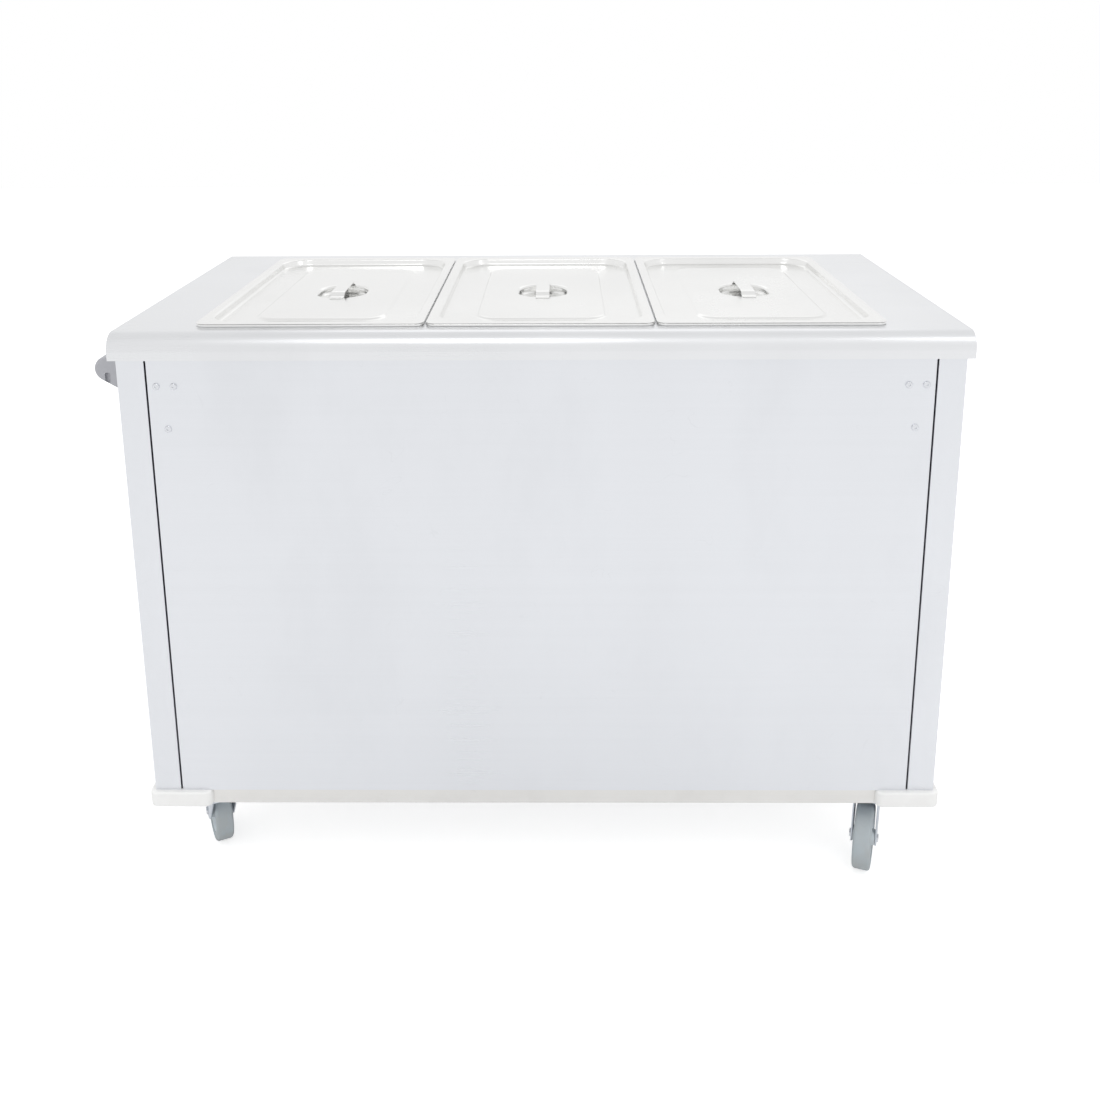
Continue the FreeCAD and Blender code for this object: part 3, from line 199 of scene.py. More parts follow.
class TrolleyFinishes(bpy.types.PropertyGroup):
    """Colours of the trolley's finishes."""

    top_steel: colour("Brushed steel of the worktop", 231, 232, 234)
    panel_steel: colour("Brushed steel of the outer skins", 228, 230, 234)
    inner_steel: colour("Duller steel of the cupboard and well", 222, 223, 225)
    base_steel: colour("Steel of the base rails", 230, 229, 227)
    pressed_steel: colour("Bright steel of the pans and lids", 239, 239, 238)
    screw_steel: colour("Bright steel of the screws and bolts", 222, 224, 228)
    zinc: colour("Bright zinc of the forks and plates", 214, 220, 228)
    element: colour("Heat-tinted sheath of the elements", 112, 104, 98)
    bumper: colour("Moulded corner bumpers", 248, 248, 247)
    bracket: colour("Moulded ends of the push handle", 182, 183, 188)
    knob: colour("Moulded knobs, switch and gland", 38, 38, 40)
    mark: colour("Printed marks and pointers", 236, 236, 232)
    rocker: colour("Mains rocker", 40, 120, 62)
    lamp: colour("Lenses of the indicator lamps", 226, 128, 28)
    wheel: colour("Moulded wheel centres", 210, 218, 223)
    tyre: colour("Grey rubber tyres", 176, 185, 190)
    dust: colour("Fine dust near the floor", 176, 172, 164)


class TrolleyStudio(bpy.types.PropertyGroup):
    """The plain studio and its camera."""

    floor: colour("Colour of the floor", 250, 250, 250)
    floor_size: length("Half the floor's width", 9000)
    focal: bpy.props.FloatProperty(name="Focal length", default=37.38, min=1.0, unit="CAMERA")
    drop: bpy.props.FloatProperty(name="How far the frame sits below the lens axis", default=-0.2091)
    eye: bpy.props.FloatVectorProperty(name="Where the camera stands", default=(0.0593, -1.8551, 1.2463),
                                       subtype="TRANSLATION", size=3, unit="LENGTH")
    tilt: turn("How far the camera looks down", 13.19)
    heading: turn("How far the camera turns to the left", 0.583)
    roll: turn("How far the camera leans", -0.31)


PROPERTY_GROUPS = {"trolley_pans": TrolleyPans, "trolley_lids": TrolleyLids,
                   "trolley_castors": TrolleyCastors, "trolley_fittings": TrolleyFittings,
                   "trolley_finishes": TrolleyFinishes, "trolley_studio": TrolleyStudio}


# Shader node groups

def add(tree, kind, inputs=None, **settings):
    """New shader node with its settings, and each input set to a value or linked to a socket."""
    made = tree.nodes.new("ShaderNode" + kind)
    for key, value in settings.items():
        setattr(made, key, value)
    for key, value in (inputs or {}).items():
        if isinstance(value, bpy.types.NodeSocket):
            tree.links.new(value, made.inputs[key])
        else:
            made.inputs[key].default_value = value
    return made


def calculate(tree, operation, *values):
    """Output of a Math node."""
    return add(tree, "Math", dict(enumerate(values)), operation=operation).outputs[0]


def stretch_between(tree, value, low, high, to_low=0.0, to_high=1.0):
    """A value brought smoothly from one range to another."""
    return add(tree, "MapRange", {"Value": value, "From Min": low, "From Max": high, "To Min": to_low,
                                  "To Max": to_high}, interpolation_type="SMOOTHSTEP").outputs["Result"]


def noise(tree, place, scale, detail=3.0, rough=0.55):
    """Factor of a noise texture."""
    return add(tree, "TexNoise", {"Vector": place, "Scale": scale, "Detail": detail,
                                  "Roughness": rough}).outputs["Fac"]


def shade(tree, colour_socket, factor):
    """A colour made lighter or darker by a factor."""
    return add(tree, "VectorMath", {0: colour_socket, "Scale": factor}, operation="SCALE").outputs[0]


def blend_colours(tree, factor, first, second):
    """Mix of two colours."""
    made = add(tree, "Mix", data_type="RGBA")
    for key, value in ((0, factor), (6, first), (7, second)):
        tree.links.new(value, made.inputs[key])
    return made.outputs[2]


def new_group(name, **defaults):
    """Shader node group with a place, a colour and named inputs; returns it with its input sockets."""
    group = bpy.data.node_groups.new(name, "ShaderNodeTree")
    for label, default in {"Place": (0.0, 0.0, 0.0), "Color": (0.8, 0.8, 0.8, 1.0), **defaults}.items():
        kind = "Float" if isinstance(default, float) else {3: "Vector", 4: "Color"}[len(default)]
        socket = group.interface.new_socket(label, in_out="INPUT", socket_type="NodeSocket" + kind)
        socket.default_value = default
    return group, group.nodes.new("NodeGroupInput").outputs


def feed(group, **results):
    """Give the group an output for each result; returns the group."""
    for label in results:
        group.interface.new_socket(label, in_out="OUTPUT",
                                   socket_type="NodeSocketColor" if label == "Color" else "NodeSocketFloat")
    out = group.nodes.new("NodeGroupOutput")
    for label, socket in results.items():
        group.links.new(socket, out.inputs[label])
    return group


def scaled_place(group, given, factors):
    """The group's place stretched by three factors."""
    return add(group, "VectorMath", {0: given["Place"], 1: factors}, operation="MULTIPLY").outputs[0]


def brushed_grain():
    """Fine parallel scratches of a brushed or rolled sheet, with broad faint vertical streaks of painted
    reflection.
    """
    group, given = new_group("brushed_grain", Stretch=(4.0, 900.0, 900.0), Streak=0.06, Roughness=0.3,
                             Spread=0.1)
    drawn = scaled_place(group, given, given["Stretch"])
    fine = noise(group, drawn, 1.0, 4.0, 0.6)
    broad = noise(group, drawn, 0.045, 2.0, 0.5)
    # Vertical streaks of painted reflection: lighter and darker bands in the sheet's colour that stand in
    # for reflected studio objects
    painted_reflection_streaks = noise(group, scaled_place(group, given, (1.0, 1.0, 0.1)), 4.3, 2.0, 0.4)
    mixed = calculate(group, "ADD", calculate(group, "MULTIPLY", fine, 0.55),
                      calculate(group, "MULTIPLY", broad, 0.45))
    centred = calculate(group, "SUBTRACT", mixed, 0.5)
    # The painted reflection streaks are added to the grain's own tone here, and both lighten and darken the
    # colour
    grain_and_painted_streaks = calculate(group, "MULTIPLY_ADD", calculate(group, "SUBTRACT", painted_reflection_streaks, 0.5), 1.6, centred)
    factor = calculate(group, "MULTIPLY_ADD", grain_and_painted_streaks, given["Streak"], 1.0)
    rough = calculate(group, "MULTIPLY_ADD", grain_and_painted_streaks, given["Spread"], given["Roughness"])
    return feed(group, Color=shade(group, given["Color"], factor), Roughness=rough, Height=fine)


def handling_wear():
    """Wiped smears and a few hair scratches that dull a surface."""
    group, given = new_group("handling_wear", Roughness=0.3, Smear=0.05, Scratch=0.05)
    wiped = noise(group, scaled_place(group, given, (5.0, 5.0, 2.2)), 1.0, 5.0, 0.62)
    smear = stretch_between(group, wiped, 0.5, 0.74)
    bent = add(group, "TexNoise", {"Vector": given["Place"], "Scale": 9.0, "Detail": 2.0, "Distortion": 1.6})
    line = calculate(group, "ABSOLUTE", calculate(group, "SUBTRACT", bent.outputs["Fac"], 0.5))
    hair = stretch_between(group, line, 0.0, 0.004, 1.0, 0.0)
    broken = calculate(group, "MULTIPLY", hair,
                       stretch_between(group, noise(group, given["Place"], 23.0), 0.5, 0.62))
    mask = calculate(group, "MAXIMUM", calculate(group, "MULTIPLY", smear, given["Smear"]),
                     calculate(group, "MULTIPLY", broken, given["Scratch"]))
    darker = calculate(group, "SUBTRACT", 1.0, calculate(group, "MULTIPLY", mask, 0.5))
    return feed(group, Color=shade(group, given["Color"], darker),
                Roughness=calculate(group, "ADD", given["Roughness"], mask))


def moulded_surface():
    """Fine texture and slight mottling of moulded plastic or rubber."""
    group, given = new_group("moulded_surface", Grain=900.0, Mottle=0.06, Roughness=0.5, Spread=0.1)
    fine = noise(group, given["Place"], given["Grain"], 3.0, 0.5)
    centred = calculate(group, "SUBTRACT", noise(group, given["Place"], 26.0, 3.0, 0.5), 0.5)
    factor = calculate(group, "MULTIPLY_ADD", centred, given["Mottle"], 1.0)
    rough = calculate(group, "MULTIPLY_ADD", centred, given["Spread"], given["Roughness"])
    return feed(group, Color=shade(group, given["Color"], factor), Roughness=rough, Height=fine)


def floor_dust():
    """Fine dust that thins out with height above the floor."""
    group, given = new_group("floor_dust", Roughness=0.5, Dust=(0.5, 0.5, 0.5, 1.0), Reach=0.12, Amount=0.3)
    level = add(group, "SeparateXYZ", {0: given["Place"]}).outputs["Z"]
    low = calculate(group, "SUBTRACT", 1.0, calculate(group, "DIVIDE", level, given["Reach"]))
    near = calculate(group, "MAXIMUM", low, 0.0)
    patchy = stretch_between(group, noise(group, given["Place"], 34.0, 4.0, 0.6), 0.36, 0.66)
    mask = calculate(group, "MULTIPLY", calculate(group, "MULTIPLY", near, patchy), given["Amount"])
    return feed(group, Color=blend_colours(group, mask, given["Color"], given["Dust"]),
                Roughness=calculate(group, "MULTIPLY_ADD", mask, 0.4, given["Roughness"]))


def heat_tint():
    """Straw, brown and blue bands that heat leaves on a steel sheath."""
    group, given = new_group("heat_tint", Amount=0.5)
    bands = noise(group, given["Place"], 14.0, 3.0, 0.5)
    ramp = add(group, "ValToRGB", {0: bands})
    stops = ramp.color_ramp.elements
    stops[0].position, stops[0].color = 0.32, (*tone(126, 104, 78), 1)
    stops[1].position, stops[1].color = 0.68, (*tone(92, 96, 116), 1)
    stops.new(0.5).color = (*tone(112, 92, 86), 1)
    mixed = blend_colours(group, given["Amount"], given["Color"], ramp.outputs["Color"])
    return feed(group, Color=mixed, Roughness=calculate(group, "MULTIPLY_ADD", bands, 0.25, 0.3))


GROUP_MAKERS = (brushed_grain, handling_wear, moulded_surface, floor_dust, heat_tint)


def group_node(tree, name, last, **inputs):
    """One of the shared groups placed in a material, after the groups before it."""
    group = bpy.data.node_groups.get(name)
    if group is None:
        group = next(maker for maker in GROUP_MAKERS if maker.__name__ == name)()
    made = tree.nodes.new("ShaderNodeGroup")
    made.node_tree = group
    for label, value in {**last, **inputs}.items():
        if isinstance(value, bpy.types.NodeSocket):
            tree.links.new(value, made.inputs[label])
        else:
            made.inputs[label].default_value = value
    results = {label: made.outputs[label] for label in ("Color", "Roughness")}
    return {"Place": last["Place"], **results}, made.outputs.get("Height")


# Materials

def new_material(name):
    """New material with its tree and its shader."""
    material = bpy.data.materials.new(name)
    material.use_nodes = True
    return material, material.node_tree, material.node_tree.nodes["Principled BSDF"]


def layered(name, base, metallic, skins, worn=None, dust=0.0, reach=0.16, coat=0.0, bump=0.2, depth=0.00012):
    """Material with one or two skins, handling marks and, near the floor, dust."""
    material, tree, shader = new_material(name)
    for label, value in (("Metallic", metallic), ("Coat Weight", coat), ("Coat Roughness", 0.08)):
        shader.inputs[label].default_value = value
    last = {"Place": add(tree, "TexCoord").outputs["Object"], "Color": (*base, 1.0)}
    for skin, settings in skins:
        last, height = group_node(tree, skin, last, **settings)
    if worn:
        last, _ = group_node(tree, "handling_wear", last, Smear=worn[0], Scratch=worn[1])
    if dust:
        grey = (*bpy.context.scene.trolley_finishes.dust, 1.0)
        last, _ = group_node(tree, "floor_dust", last, Dust=grey, Reach=reach, Amount=dust)
    tree.links.new(last["Color"], shader.inputs["Base Color"])
    tree.links.new(last["Roughness"], shader.inputs["Roughness"])
    bumped = add(tree, "Bump", {"Strength": bump, "Distance": depth, "Height": height})
    tree.links.new(bumped.outputs["Normal"], shader.inputs["Normal"])
    return material


def sheet_steel(name, base, stretch, roughness, streak=0.08, bump=0.2, smear=0.05, scratch=0.06, dust=0.0,
                metallic=1.0):
    """Sheet steel with its grain and broad faint vertical streaks of painted reflection."""
    grain = {"Stretch": stretch, "Streak": streak, "Roughness": roughness, "Spread": 0.14}
    return layered(name, base, metallic, [("brushed_grain", grain)], (smear, scratch), dust, bump=bump)


def moulded(name, base, roughness, grain, mottle=0.06, bump=0.2, dust=0.0, reach=0.13, coat=0.0):
    """Moulded plastic or rubber."""
    body = {"Grain": grain, "Mottle": mottle, "Roughness": roughness, "Spread": 0.2}
    return layered(name, base, 0.0, [("moulded_surface", body)], (0.06, 0.08), dust, reach, coat, bump,
                   0.00015)


def element_sheath(name, base):
    """Sheath of a heating element, tinted by heat."""
    skin = {"Grain": 1400.0, "Mottle": 0.2, "Spread": 0.2}
    return layered(name, base, 0.85, [("heat_tint", {"Amount": 0.6}), ("moulded_surface", skin)], bump=0.3,
                   depth=0.0001)


def make_finishes():
    """Every material by its name; the first part of each name says what it is on."""
    tones = bpy.context.scene.trolley_finishes
    along, across, even = (4.0, 950.0, 950.0), (950.0, 4.0, 950.0), (60.0, 60.0, 60.0)
    return {
        "top_steel": sheet_steel("worktop_brushed_steel", tones.top_steel, along, 0.3),
        "panel_steel": sheet_steel("panel_brushed_steel", tones.panel_steel, along, 0.32, 0.07),
        "end_steel": sheet_steel("end_panel_brushed_steel", tones.panel_steel, across, 0.32, 0.07),
        "inner_steel": sheet_steel("inner_rolled_steel", tones.inner_steel, along, 0.45, 0.1, 0.25, 0.12,
                                   0.12, metallic=0.45),
        "base_steel": sheet_steel("base_box_steel", tones.base_steel, along, 0.4, 0.1, 0.2, 0.1, 0.1, 0.25),
        "pressed_steel": sheet_steel("pressed_bright_steel", tones.pressed_steel, even, 0.22, 0.04, 0.06,
                                     0.05, 0.05),
        "tube_steel": sheet_steel("handle_polished_steel", tones.pressed_steel, across, 0.18, 0.05, 0.08),
        "screw_steel": sheet_steel("screw_bright_steel", tones.screw_steel, even, 0.24, 0.06, 0.1),
        "zinc_steel": sheet_steel("castor_zinc_steel", tones.zinc, (160.0, 160.0, 90.0), 0.34, 0.16, 0.3,
                                  0.12, 0.1, 0.35),
        "element_sheath": element_sheath("element_tinted_sheath", tones.element),
        "bumper_plastic": moulded("bumper_moulding", tones.bumper, 0.42, 1100.0, 0.03, 0.16, 0.12, 0.2),
        "bracket_plastic": moulded("handle_bracket_moulding", tones.bracket, 0.46, 900.0, 0.06, 0.3),
        "knob_plastic": moulded("knob_moulding", tones.knob, 0.4, 1300.0, 0.1, 0.3),
        "mark_print": moulded("printed_mark", tones.mark, 0.5, 900.0, 0.04, 0.1),
        "rocker_plastic": moulded("rocker_moulding", tones.rocker, 0.3, 1500.0, 0.05, 0.12, coat=0.3),
        "lamp_lens": moulded("lamp_lens_moulding", tones.lamp, 0.14, 500.0, 0.12, 0.1, coat=0.9),
        "wheel_plastic": moulded("wheel_centre_moulding", tones.wheel, 0.44, 800.0, 0.05, 0.2, 0.3, 0.12),
        "tyre_rubber": moulded("tyre_grey_rubber", tones.tyre, 0.62, 520.0, 0.1, 0.5, 0.5, 0.11),
    }


FINISHES = {}


def finish_called(name):
    """A finish, with all of them made when the first one is asked for."""
    if not FINISHES:
        FINISHES.update(make_finishes())
    return FINISHES[name]


# Modelling helpers

def stood_in_scene(name, data):
    """New object in the scene."""
    made = bpy.data.objects.new(name, data)
    bpy.context.scene.collection.objects.link(made)
    return made


def drawn_object(bm, name):
    """New object from a bmesh, which is freed."""
    mesh = bpy.data.meshes.new(name)
    bm.to_mesh(mesh)
    bm.free()
    return stood_in_scene(name, mesh)


def evaluated_mesh(piece):
    """The piece's mesh with its modifiers applied, which are then taken off."""
    bpy.context.view_layer.update()
    shown = piece.evaluated_get(bpy.context.evaluated_depsgraph_get())
    mesh = bpy.data.meshes.new_from_object(shown)
    piece.modifiers.clear()
    piece.data = mesh


def settle(bm, name, body, finish, stands_for=(), sheet=0.0, outward=False, edge=0.0):
    """Turn a bmesh into a finished piece that rides on a body of the frame."""
    piece = drawn_object(bm, name)
    if sheet:
        wall = piece.modifiers.new("sheet", "SOLIDIFY")
        wall.thickness = sheet
        wall.offset = 1.0 if outward else -1.0
    if edge:
        softened = piece.modifiers.new("edge", "BEVEL")
        softened.width = edge
        softened.segments = 2
        softened.limit_method = "ANGLE"
        softened.angle_limit = math.radians(50)
    if sheet or edge:
        evaluated_mesh(piece)
    piece.data.shade_smooth()
    piece.data.set_sharp_from_angle(angle=math.radians(38))
    weighted = piece.modifiers.new("shading", "WEIGHTED_NORMAL")
    weighted.keep_sharp = True
    evaluated_mesh(piece)
    piece.data.name = name
    piece.data.materials.clear()
    piece.data.materials.append(finish_called(finish))
    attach(piece, body)
    if stands_for:
        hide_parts(*stands_for)
    return piece


def linked_edges(vertex):
    """All the edges of the loose loop that a vertex belongs to."""
    found, waiting = set(), [vertex]
    seen = {vertex}
    while waiting:
        for edge in waiting.pop().link_edges:
            found.add(edge)
            for end in edge.verts:
                if end not in seen:
                    seen.add(end)
                    waiting.append(end)
    return list(found)


def round_corners(bm, verts, radius, steps):
    """Round some corners of flat sheet to a radius; returns the new vertices."""
    return bmesh.ops.bevel(bm, geom=verts, offset=radius, offset_type="OFFSET", segments=steps, profile=0.5,
                           affect="VERTICES", material=-1)["verts"]


def rounded_ring(bm, centre, level, width, depth, corner):
    """Loose loop of edges round a flat rectangle with round corners."""
    made = bmesh.ops.create_grid(bm, x_segments=1, y_segments=1, size=0.5)["verts"]
    bmesh.ops.scale(bm, vec=(width, depth, 1), verts=made)
    bmesh.ops.translate(bm, vec=(centre[0], centre[1], level), verts=made)
    vertex = round_corners(bm, made, corner, 8)[0]
    bmesh.ops.delete(bm, geom=list(vertex.link_faces), context="FACES_ONLY")
    return linked_edges(vertex)


def grow(bm, ring, place):
    """Extrude a loop of edges and put each new vertex where a function of its old place says."""
    made = bmesh.ops.extrude_edge_only(bm, edges=ring)["geom"]
    ends = {item for item in made if isinstance(item, bmesh.types.BMVert)}
    for end in ends:
        end.co = place(end.co)
    return [item for item in made if isinstance(item, bmesh.types.BMEdge) and set(item.verts) <= ends]


def pressed_rings(bm, centre, rings):
    """Sheet that runs through rounded rectangles, each given as level, width, depth and corner."""
    loops = [rounded_ring(bm, centre, *rings[0])]
    for (_, width, depth, corner), (level, *after) in zip(rings, rings[1:]):

        def place(spot):
            moved = []
            for value, middle, before, then in zip(spot, centre, (width, depth), after):
                arc = abs(value - middle) - (before / 2 - corner)
                reach = then / 2 - after[2] + arc * after[2] / corner
                moved.append(middle + math.copysign(reach, value - middle))
            return (*moved, level)

        loops.append(grow(bm, loops[-1], place))
    return loops


def on_circle(radius, level):
    """Placing function that puts a point on a circle round the Z axis."""
    return lambda spot: (*(spot.xy.normalized() * radius), level)


def on_hexagon(radius, level):
    """Placing function that puts a point on a hexagon round the Z axis."""
    def place(spot):
        angle = math.atan2(spot.y, spot.x)
        reach = radius * math.cos(math.pi / 6) / math.cos(angle % (math.pi / 3) - math.pi / 6)
        return (reach * math.cos(angle), reach * math.sin(angle), level)
    return place


def round_over(bm, edges, radius, segments=3):
    """Round some edges to a radius."""
    kept = [edge for edge in edges if edge.is_valid]
    bmesh.ops.bevel(bm, geom=kept, offset=radius, offset_type="OFFSET", segments=segments, profile=0.5,
                    affect="EDGES", clamp_overlap=True, material=-1)


def close_shell(bm, matrix=None):
    """Merge doubles, turn a closed shell's faces outwards and carry it to its place."""
    bmesh.ops.remove_doubles(bm, verts=bm.verts, dist=1e-6)
    bmesh.ops.recalc_face_normals(bm, faces=bm.faces)
    if matrix is not None:
        move(bm, matrix)


def face_upward(bm):
    """Make an open sheet's normals agree, with the flat parts facing up."""
    close_shell(bm)
    bm.normal_update()
    if sum(face.normal.z * face.calc_area() for face in bm.faces) < 0:
        bmesh.ops.reverse_faces(bm, faces=bm.faces)


def turned(bm, profile, steps=48, closed=False):
    """Solid turned round the Z axis from a few (radius, level) points."""
    verts = [bm.verts.new((radius, 0, level)) for radius, level in profile]
    edges = [bm.edges.new(pair) for pair in zip(verts, verts[1:] + verts[:1] if closed else verts[1:])]
    bmesh.ops.spin(bm, geom=verts + edges, cent=(0, 0, 0), axis=(0, 0, 1), dvec=(0, 0, 0),
                   angle=math.tau, steps=steps, use_merge=True, use_duplicate=False)
    bmesh.ops.remove_doubles(bm, verts=bm.verts, dist=1e-6)


def move(bm, matrix, verts=None):
    """Carry vertices by a matrix."""
    bmesh.ops.transform(bm, matrix=matrix, verts=list(verts or bm.verts))


def block(bm, low, high):
    """Rectangular bar between two corners, for joining to a larger piece."""
    size = [b - a for a, b in zip(low, high)]
    middle = [(a + b) / 2 for a, b in zip(low, high)]
    made = bmesh.ops.create_cube(bm, size=1.0)["verts"]
    bmesh.ops.scale(bm, vec=size, verts=made)
    bmesh.ops.translate(bm, vec=middle, verts=made)
    return made


def raised_disc(bm, sides, radius, low, high, ease, steps):
    """Round or six-sided head on the Z axis with its upper rim eased."""
    made = bmesh.ops.create_circle(bm, cap_ends=True, segments=sides, radius=radius)["verts"]
    bmesh.ops.translate(bm, vec=(0, 0, low), verts=made)
    lifted = bmesh.ops.extrude_face_region(bm, geom=list(made[0].link_faces))
    tops = [item for item in lifted["geom"] if isinstance(item, bmesh.types.BMVert)]
    bmesh.ops.translate(bm, vec=(0, 0, high - low), verts=tops)
    rim = {edge for vertex in tops for edge in vertex.link_edges
           if all(end in tops for end in edge.verts)}
    round_over(bm, rim, ease, steps)


def on_operator_side(node, face):
    """Axes on a flat face of the operator side, in front of a node's middle."""
    middle = middle_of(node)
    return Matrix.Translation((middle[0], face, middle[2])) @ TOWARD_OPERATOR


# Operators

class TROLLEY_OT_frame_finishes(bpy.types.Operator):
    """Give every sheet and fitting that the frame still shows its finish"""

    bl_idname = "trolley.frame_finishes"
    bl_label = "Frame finishes"

    def execute(self, context):
        wanted = {
            "top_steel": ("worktop",),
            "panel_steel": ("customer_panel", "control_fascia", "left_door", "right_door"),
            "end_steel": ("left_end_panel", "right_end_panel"),
            "inner_steel": ("well_tank", "pan_divider_bars", "panel_corner_brackets", "cupboard_floor",
                            "cupboard_ceiling", "side_liners", "customer_side_liner", "shelf",
                            "shelf_rails", "door_top_track", "door_bottom_track", "heater_guard"),
            "base_steel": ("base_front_rail", "base_back_rail", "castor_bearers"),
            "screw_steel": ("handle_screws", "castor_bolts"),
            "tube_steel": ("push_handle_tube",),
            "element_sheath": ("well_heaters", "cupboard_heater"),
            "bumper_plastic": ("corner_bumpers",),
            "bracket_plastic": ("push_handle_brackets",),
            "knob_plastic": ("mains_switch", "thermostats"),
            "rocker_plastic": ("switch_rocker",),
            "zinc_steel": ("castor_plates", "rear_left_brake_pedal", "rear_right_brake_pedal"),
        }
        for finish, nodes in wanted.items():
            for node in nodes:
                mesh = frame["nodes"][node].data
                mesh.materials.clear()
                mesh.materials.append(finish_called(finish))
        return {"FINISHED"}


class TROLLEY_OT_pans(bpy.types.Operator):
    """Model the three pressed food pans"""

    bl_idname = "trolley.pans"
    bl_label = "Food pans"

    def execute(self, context):
        sizes = context.scene.trolley_pans
        for side in SIDES:
            low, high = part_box(side + "_pan")
            width, depth = high.x - low.x, high.y - low.y
            mouth_width, mouth_depth = width - 2 * sizes.rim_width, depth - 2 * sizes.rim_width
            lean = 2 * sizes.wall_taper
            bm = bmesh.new()
            _, rim, mouth, foot = pressed_rings(bm, middle_of(side + "_pan")[:2], [
                (TOP_LEVEL + 0.3 * MM, width, depth, sizes.rim_corner),
                (high.z, width, depth, sizes.rim_corner),
                (high.z, mouth_width, mouth_depth, sizes.mouth_corner),
                (low.z + sizes.sheet, mouth_width - lean, mouth_depth - lean,
                 sizes.mouth_corner - sizes.wall_taper)])
            bmesh.ops.edgeloop_fill(bm, edges=foot)
            face_upward(bm)
            round_over(bm, foot, sizes.foot, 5)
            round_over(bm, mouth, sizes.mouth_roll, 3)
            round_over(bm, rim, sizes.rim_roll, 3)
            settle(bm, side + "_pan_pressing", side + "_pan", "pressed_steel",
                   [side + "_pan"], sheet=sizes.sheet)
        return {"FINISHED"}


def press_lid(side, centre, high, width, depth, sizes, pan):
    """Rim, sunk panel, raised field and finger dish from one sheet."""
    bm = bmesh.new()
    inset = 2 * (pan.rim_width + sizes.play)
    mouth_width, mouth_depth = width - inset, depth - inset
    corner = pan.mouth_corner - sizes.play
    lean = 2 * sizes.wall_taper
    floor = high.z - sizes.recess
    field_top = floor + sizes.field_rise
    field_width, field_depth = width - 2 * sizes.field_inset, depth - 2 * sizes.field_inset
    rise = 2 * sizes.field_rise
    dish_lean = 6 * MM
    _, mouth, sunk, field_foot, field, dish, bowl = pressed_rings(bm, centre, [
        (high.z, width, depth, pan.rim_corner), (high.z, mouth_width, mouth_depth, corner),
        (floor, mouth_width - lean, mouth_depth - lean, corner),
        (floor, field_width, field_depth, sizes.field_corner),
        (field_top, field_width - rise, field_depth - rise, sizes.field_corner),
        (field_top, sizes.dish_width, sizes.dish_length, sizes.dish_corner),
        (field_top - sizes.dish_depth, sizes.dish_width - dish_lean, sizes.dish_length - dish_lean,
         sizes.dish_corner - dish_lean / 2)])
    bmesh.ops.edgeloop_fill(bm, edges=bowl)
    face_upward(bm)
    round_over(bm, bowl, 0.5 * sizes.dish_depth, 6)
    round_over(bm, dish, sizes.dish_edge, 5)
    round_over(bm, field, 2 * MM, 3)
    round_over(bm, field_foot, 2 * MM, 3)
    round_over(bm, sunk, sizes.press_radius, 4)
    round_over(bm, mouth, 0.8 * sizes.press_radius, 4)
    settle(bm, side + "_lid_pressing", side + "_lid", "pressed_steel",
           [side + "_lid"], sheet=sizes.sheet, edge=0.22 * MM)


def bend_strap(side, centre, level, sizes):
    """Arched strap over the finger dish, with a flat foot at each end."""
    bm = bmesh.new()
    half = sizes.dish_length / 2
    steps = [(sizes.strap_foot, 0.0), (sizes.strap_ramp, sizes.strap_rise),
             (2 * (half - sizes.strap_ramp), 0.0), (sizes.strap_ramp, -sizes.strap_rise),
             (sizes.strap_foot, 0.0)]
    start_y = centre[1] - half - sizes.strap_foot
    ends = [bm.verts.new((centre[0] + sign * sizes.strap_width / 2, start_y, level + 0.05 * MM))
            for sign in (-1, 1)]
    across = [bm.edges.new(ends)]
    for run, rise in steps:
        across += grow(bm, across[-1:], lambda spot: spot + Vector((0, run, rise)))
    tips = [vertex for edge in (across[0], across[-1]) for vertex in edge.verts]
    face_upward(bm)
    round_over(bm, across[1:-1], sizes.strap_bend, 5)
    round_corners(bm, [tip for tip in tips if tip.is_valid], 4 * MM, 4)
    settle(bm, side + "_lid_strap", side + "_lid", "pressed_steel",
           sheet=sizes.strap_sheet, outward=True, edge=0.35 * MM)


class TROLLEY_OT_lids(bpy.types.Operator):
    """Model the three pressed lids and their strap handles"""

    bl_idname = "trolley.lids"
    bl_label = "Lids"

    def execute(self, context):
        sizes = context.scene.trolley_lids
        pan = context.scene.trolley_pans
        for side in SIDES:
            low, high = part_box(side + "_lid")
            centre = middle_of(side + "_lid")[:2]
            press_lid(side, centre, high, high.x - low.x, high.y - low.y, sizes, pan)
            bend_strap(side, centre, high.z - sizes.recess + sizes.field_rise, sizes)
        return {"FINISHED"}


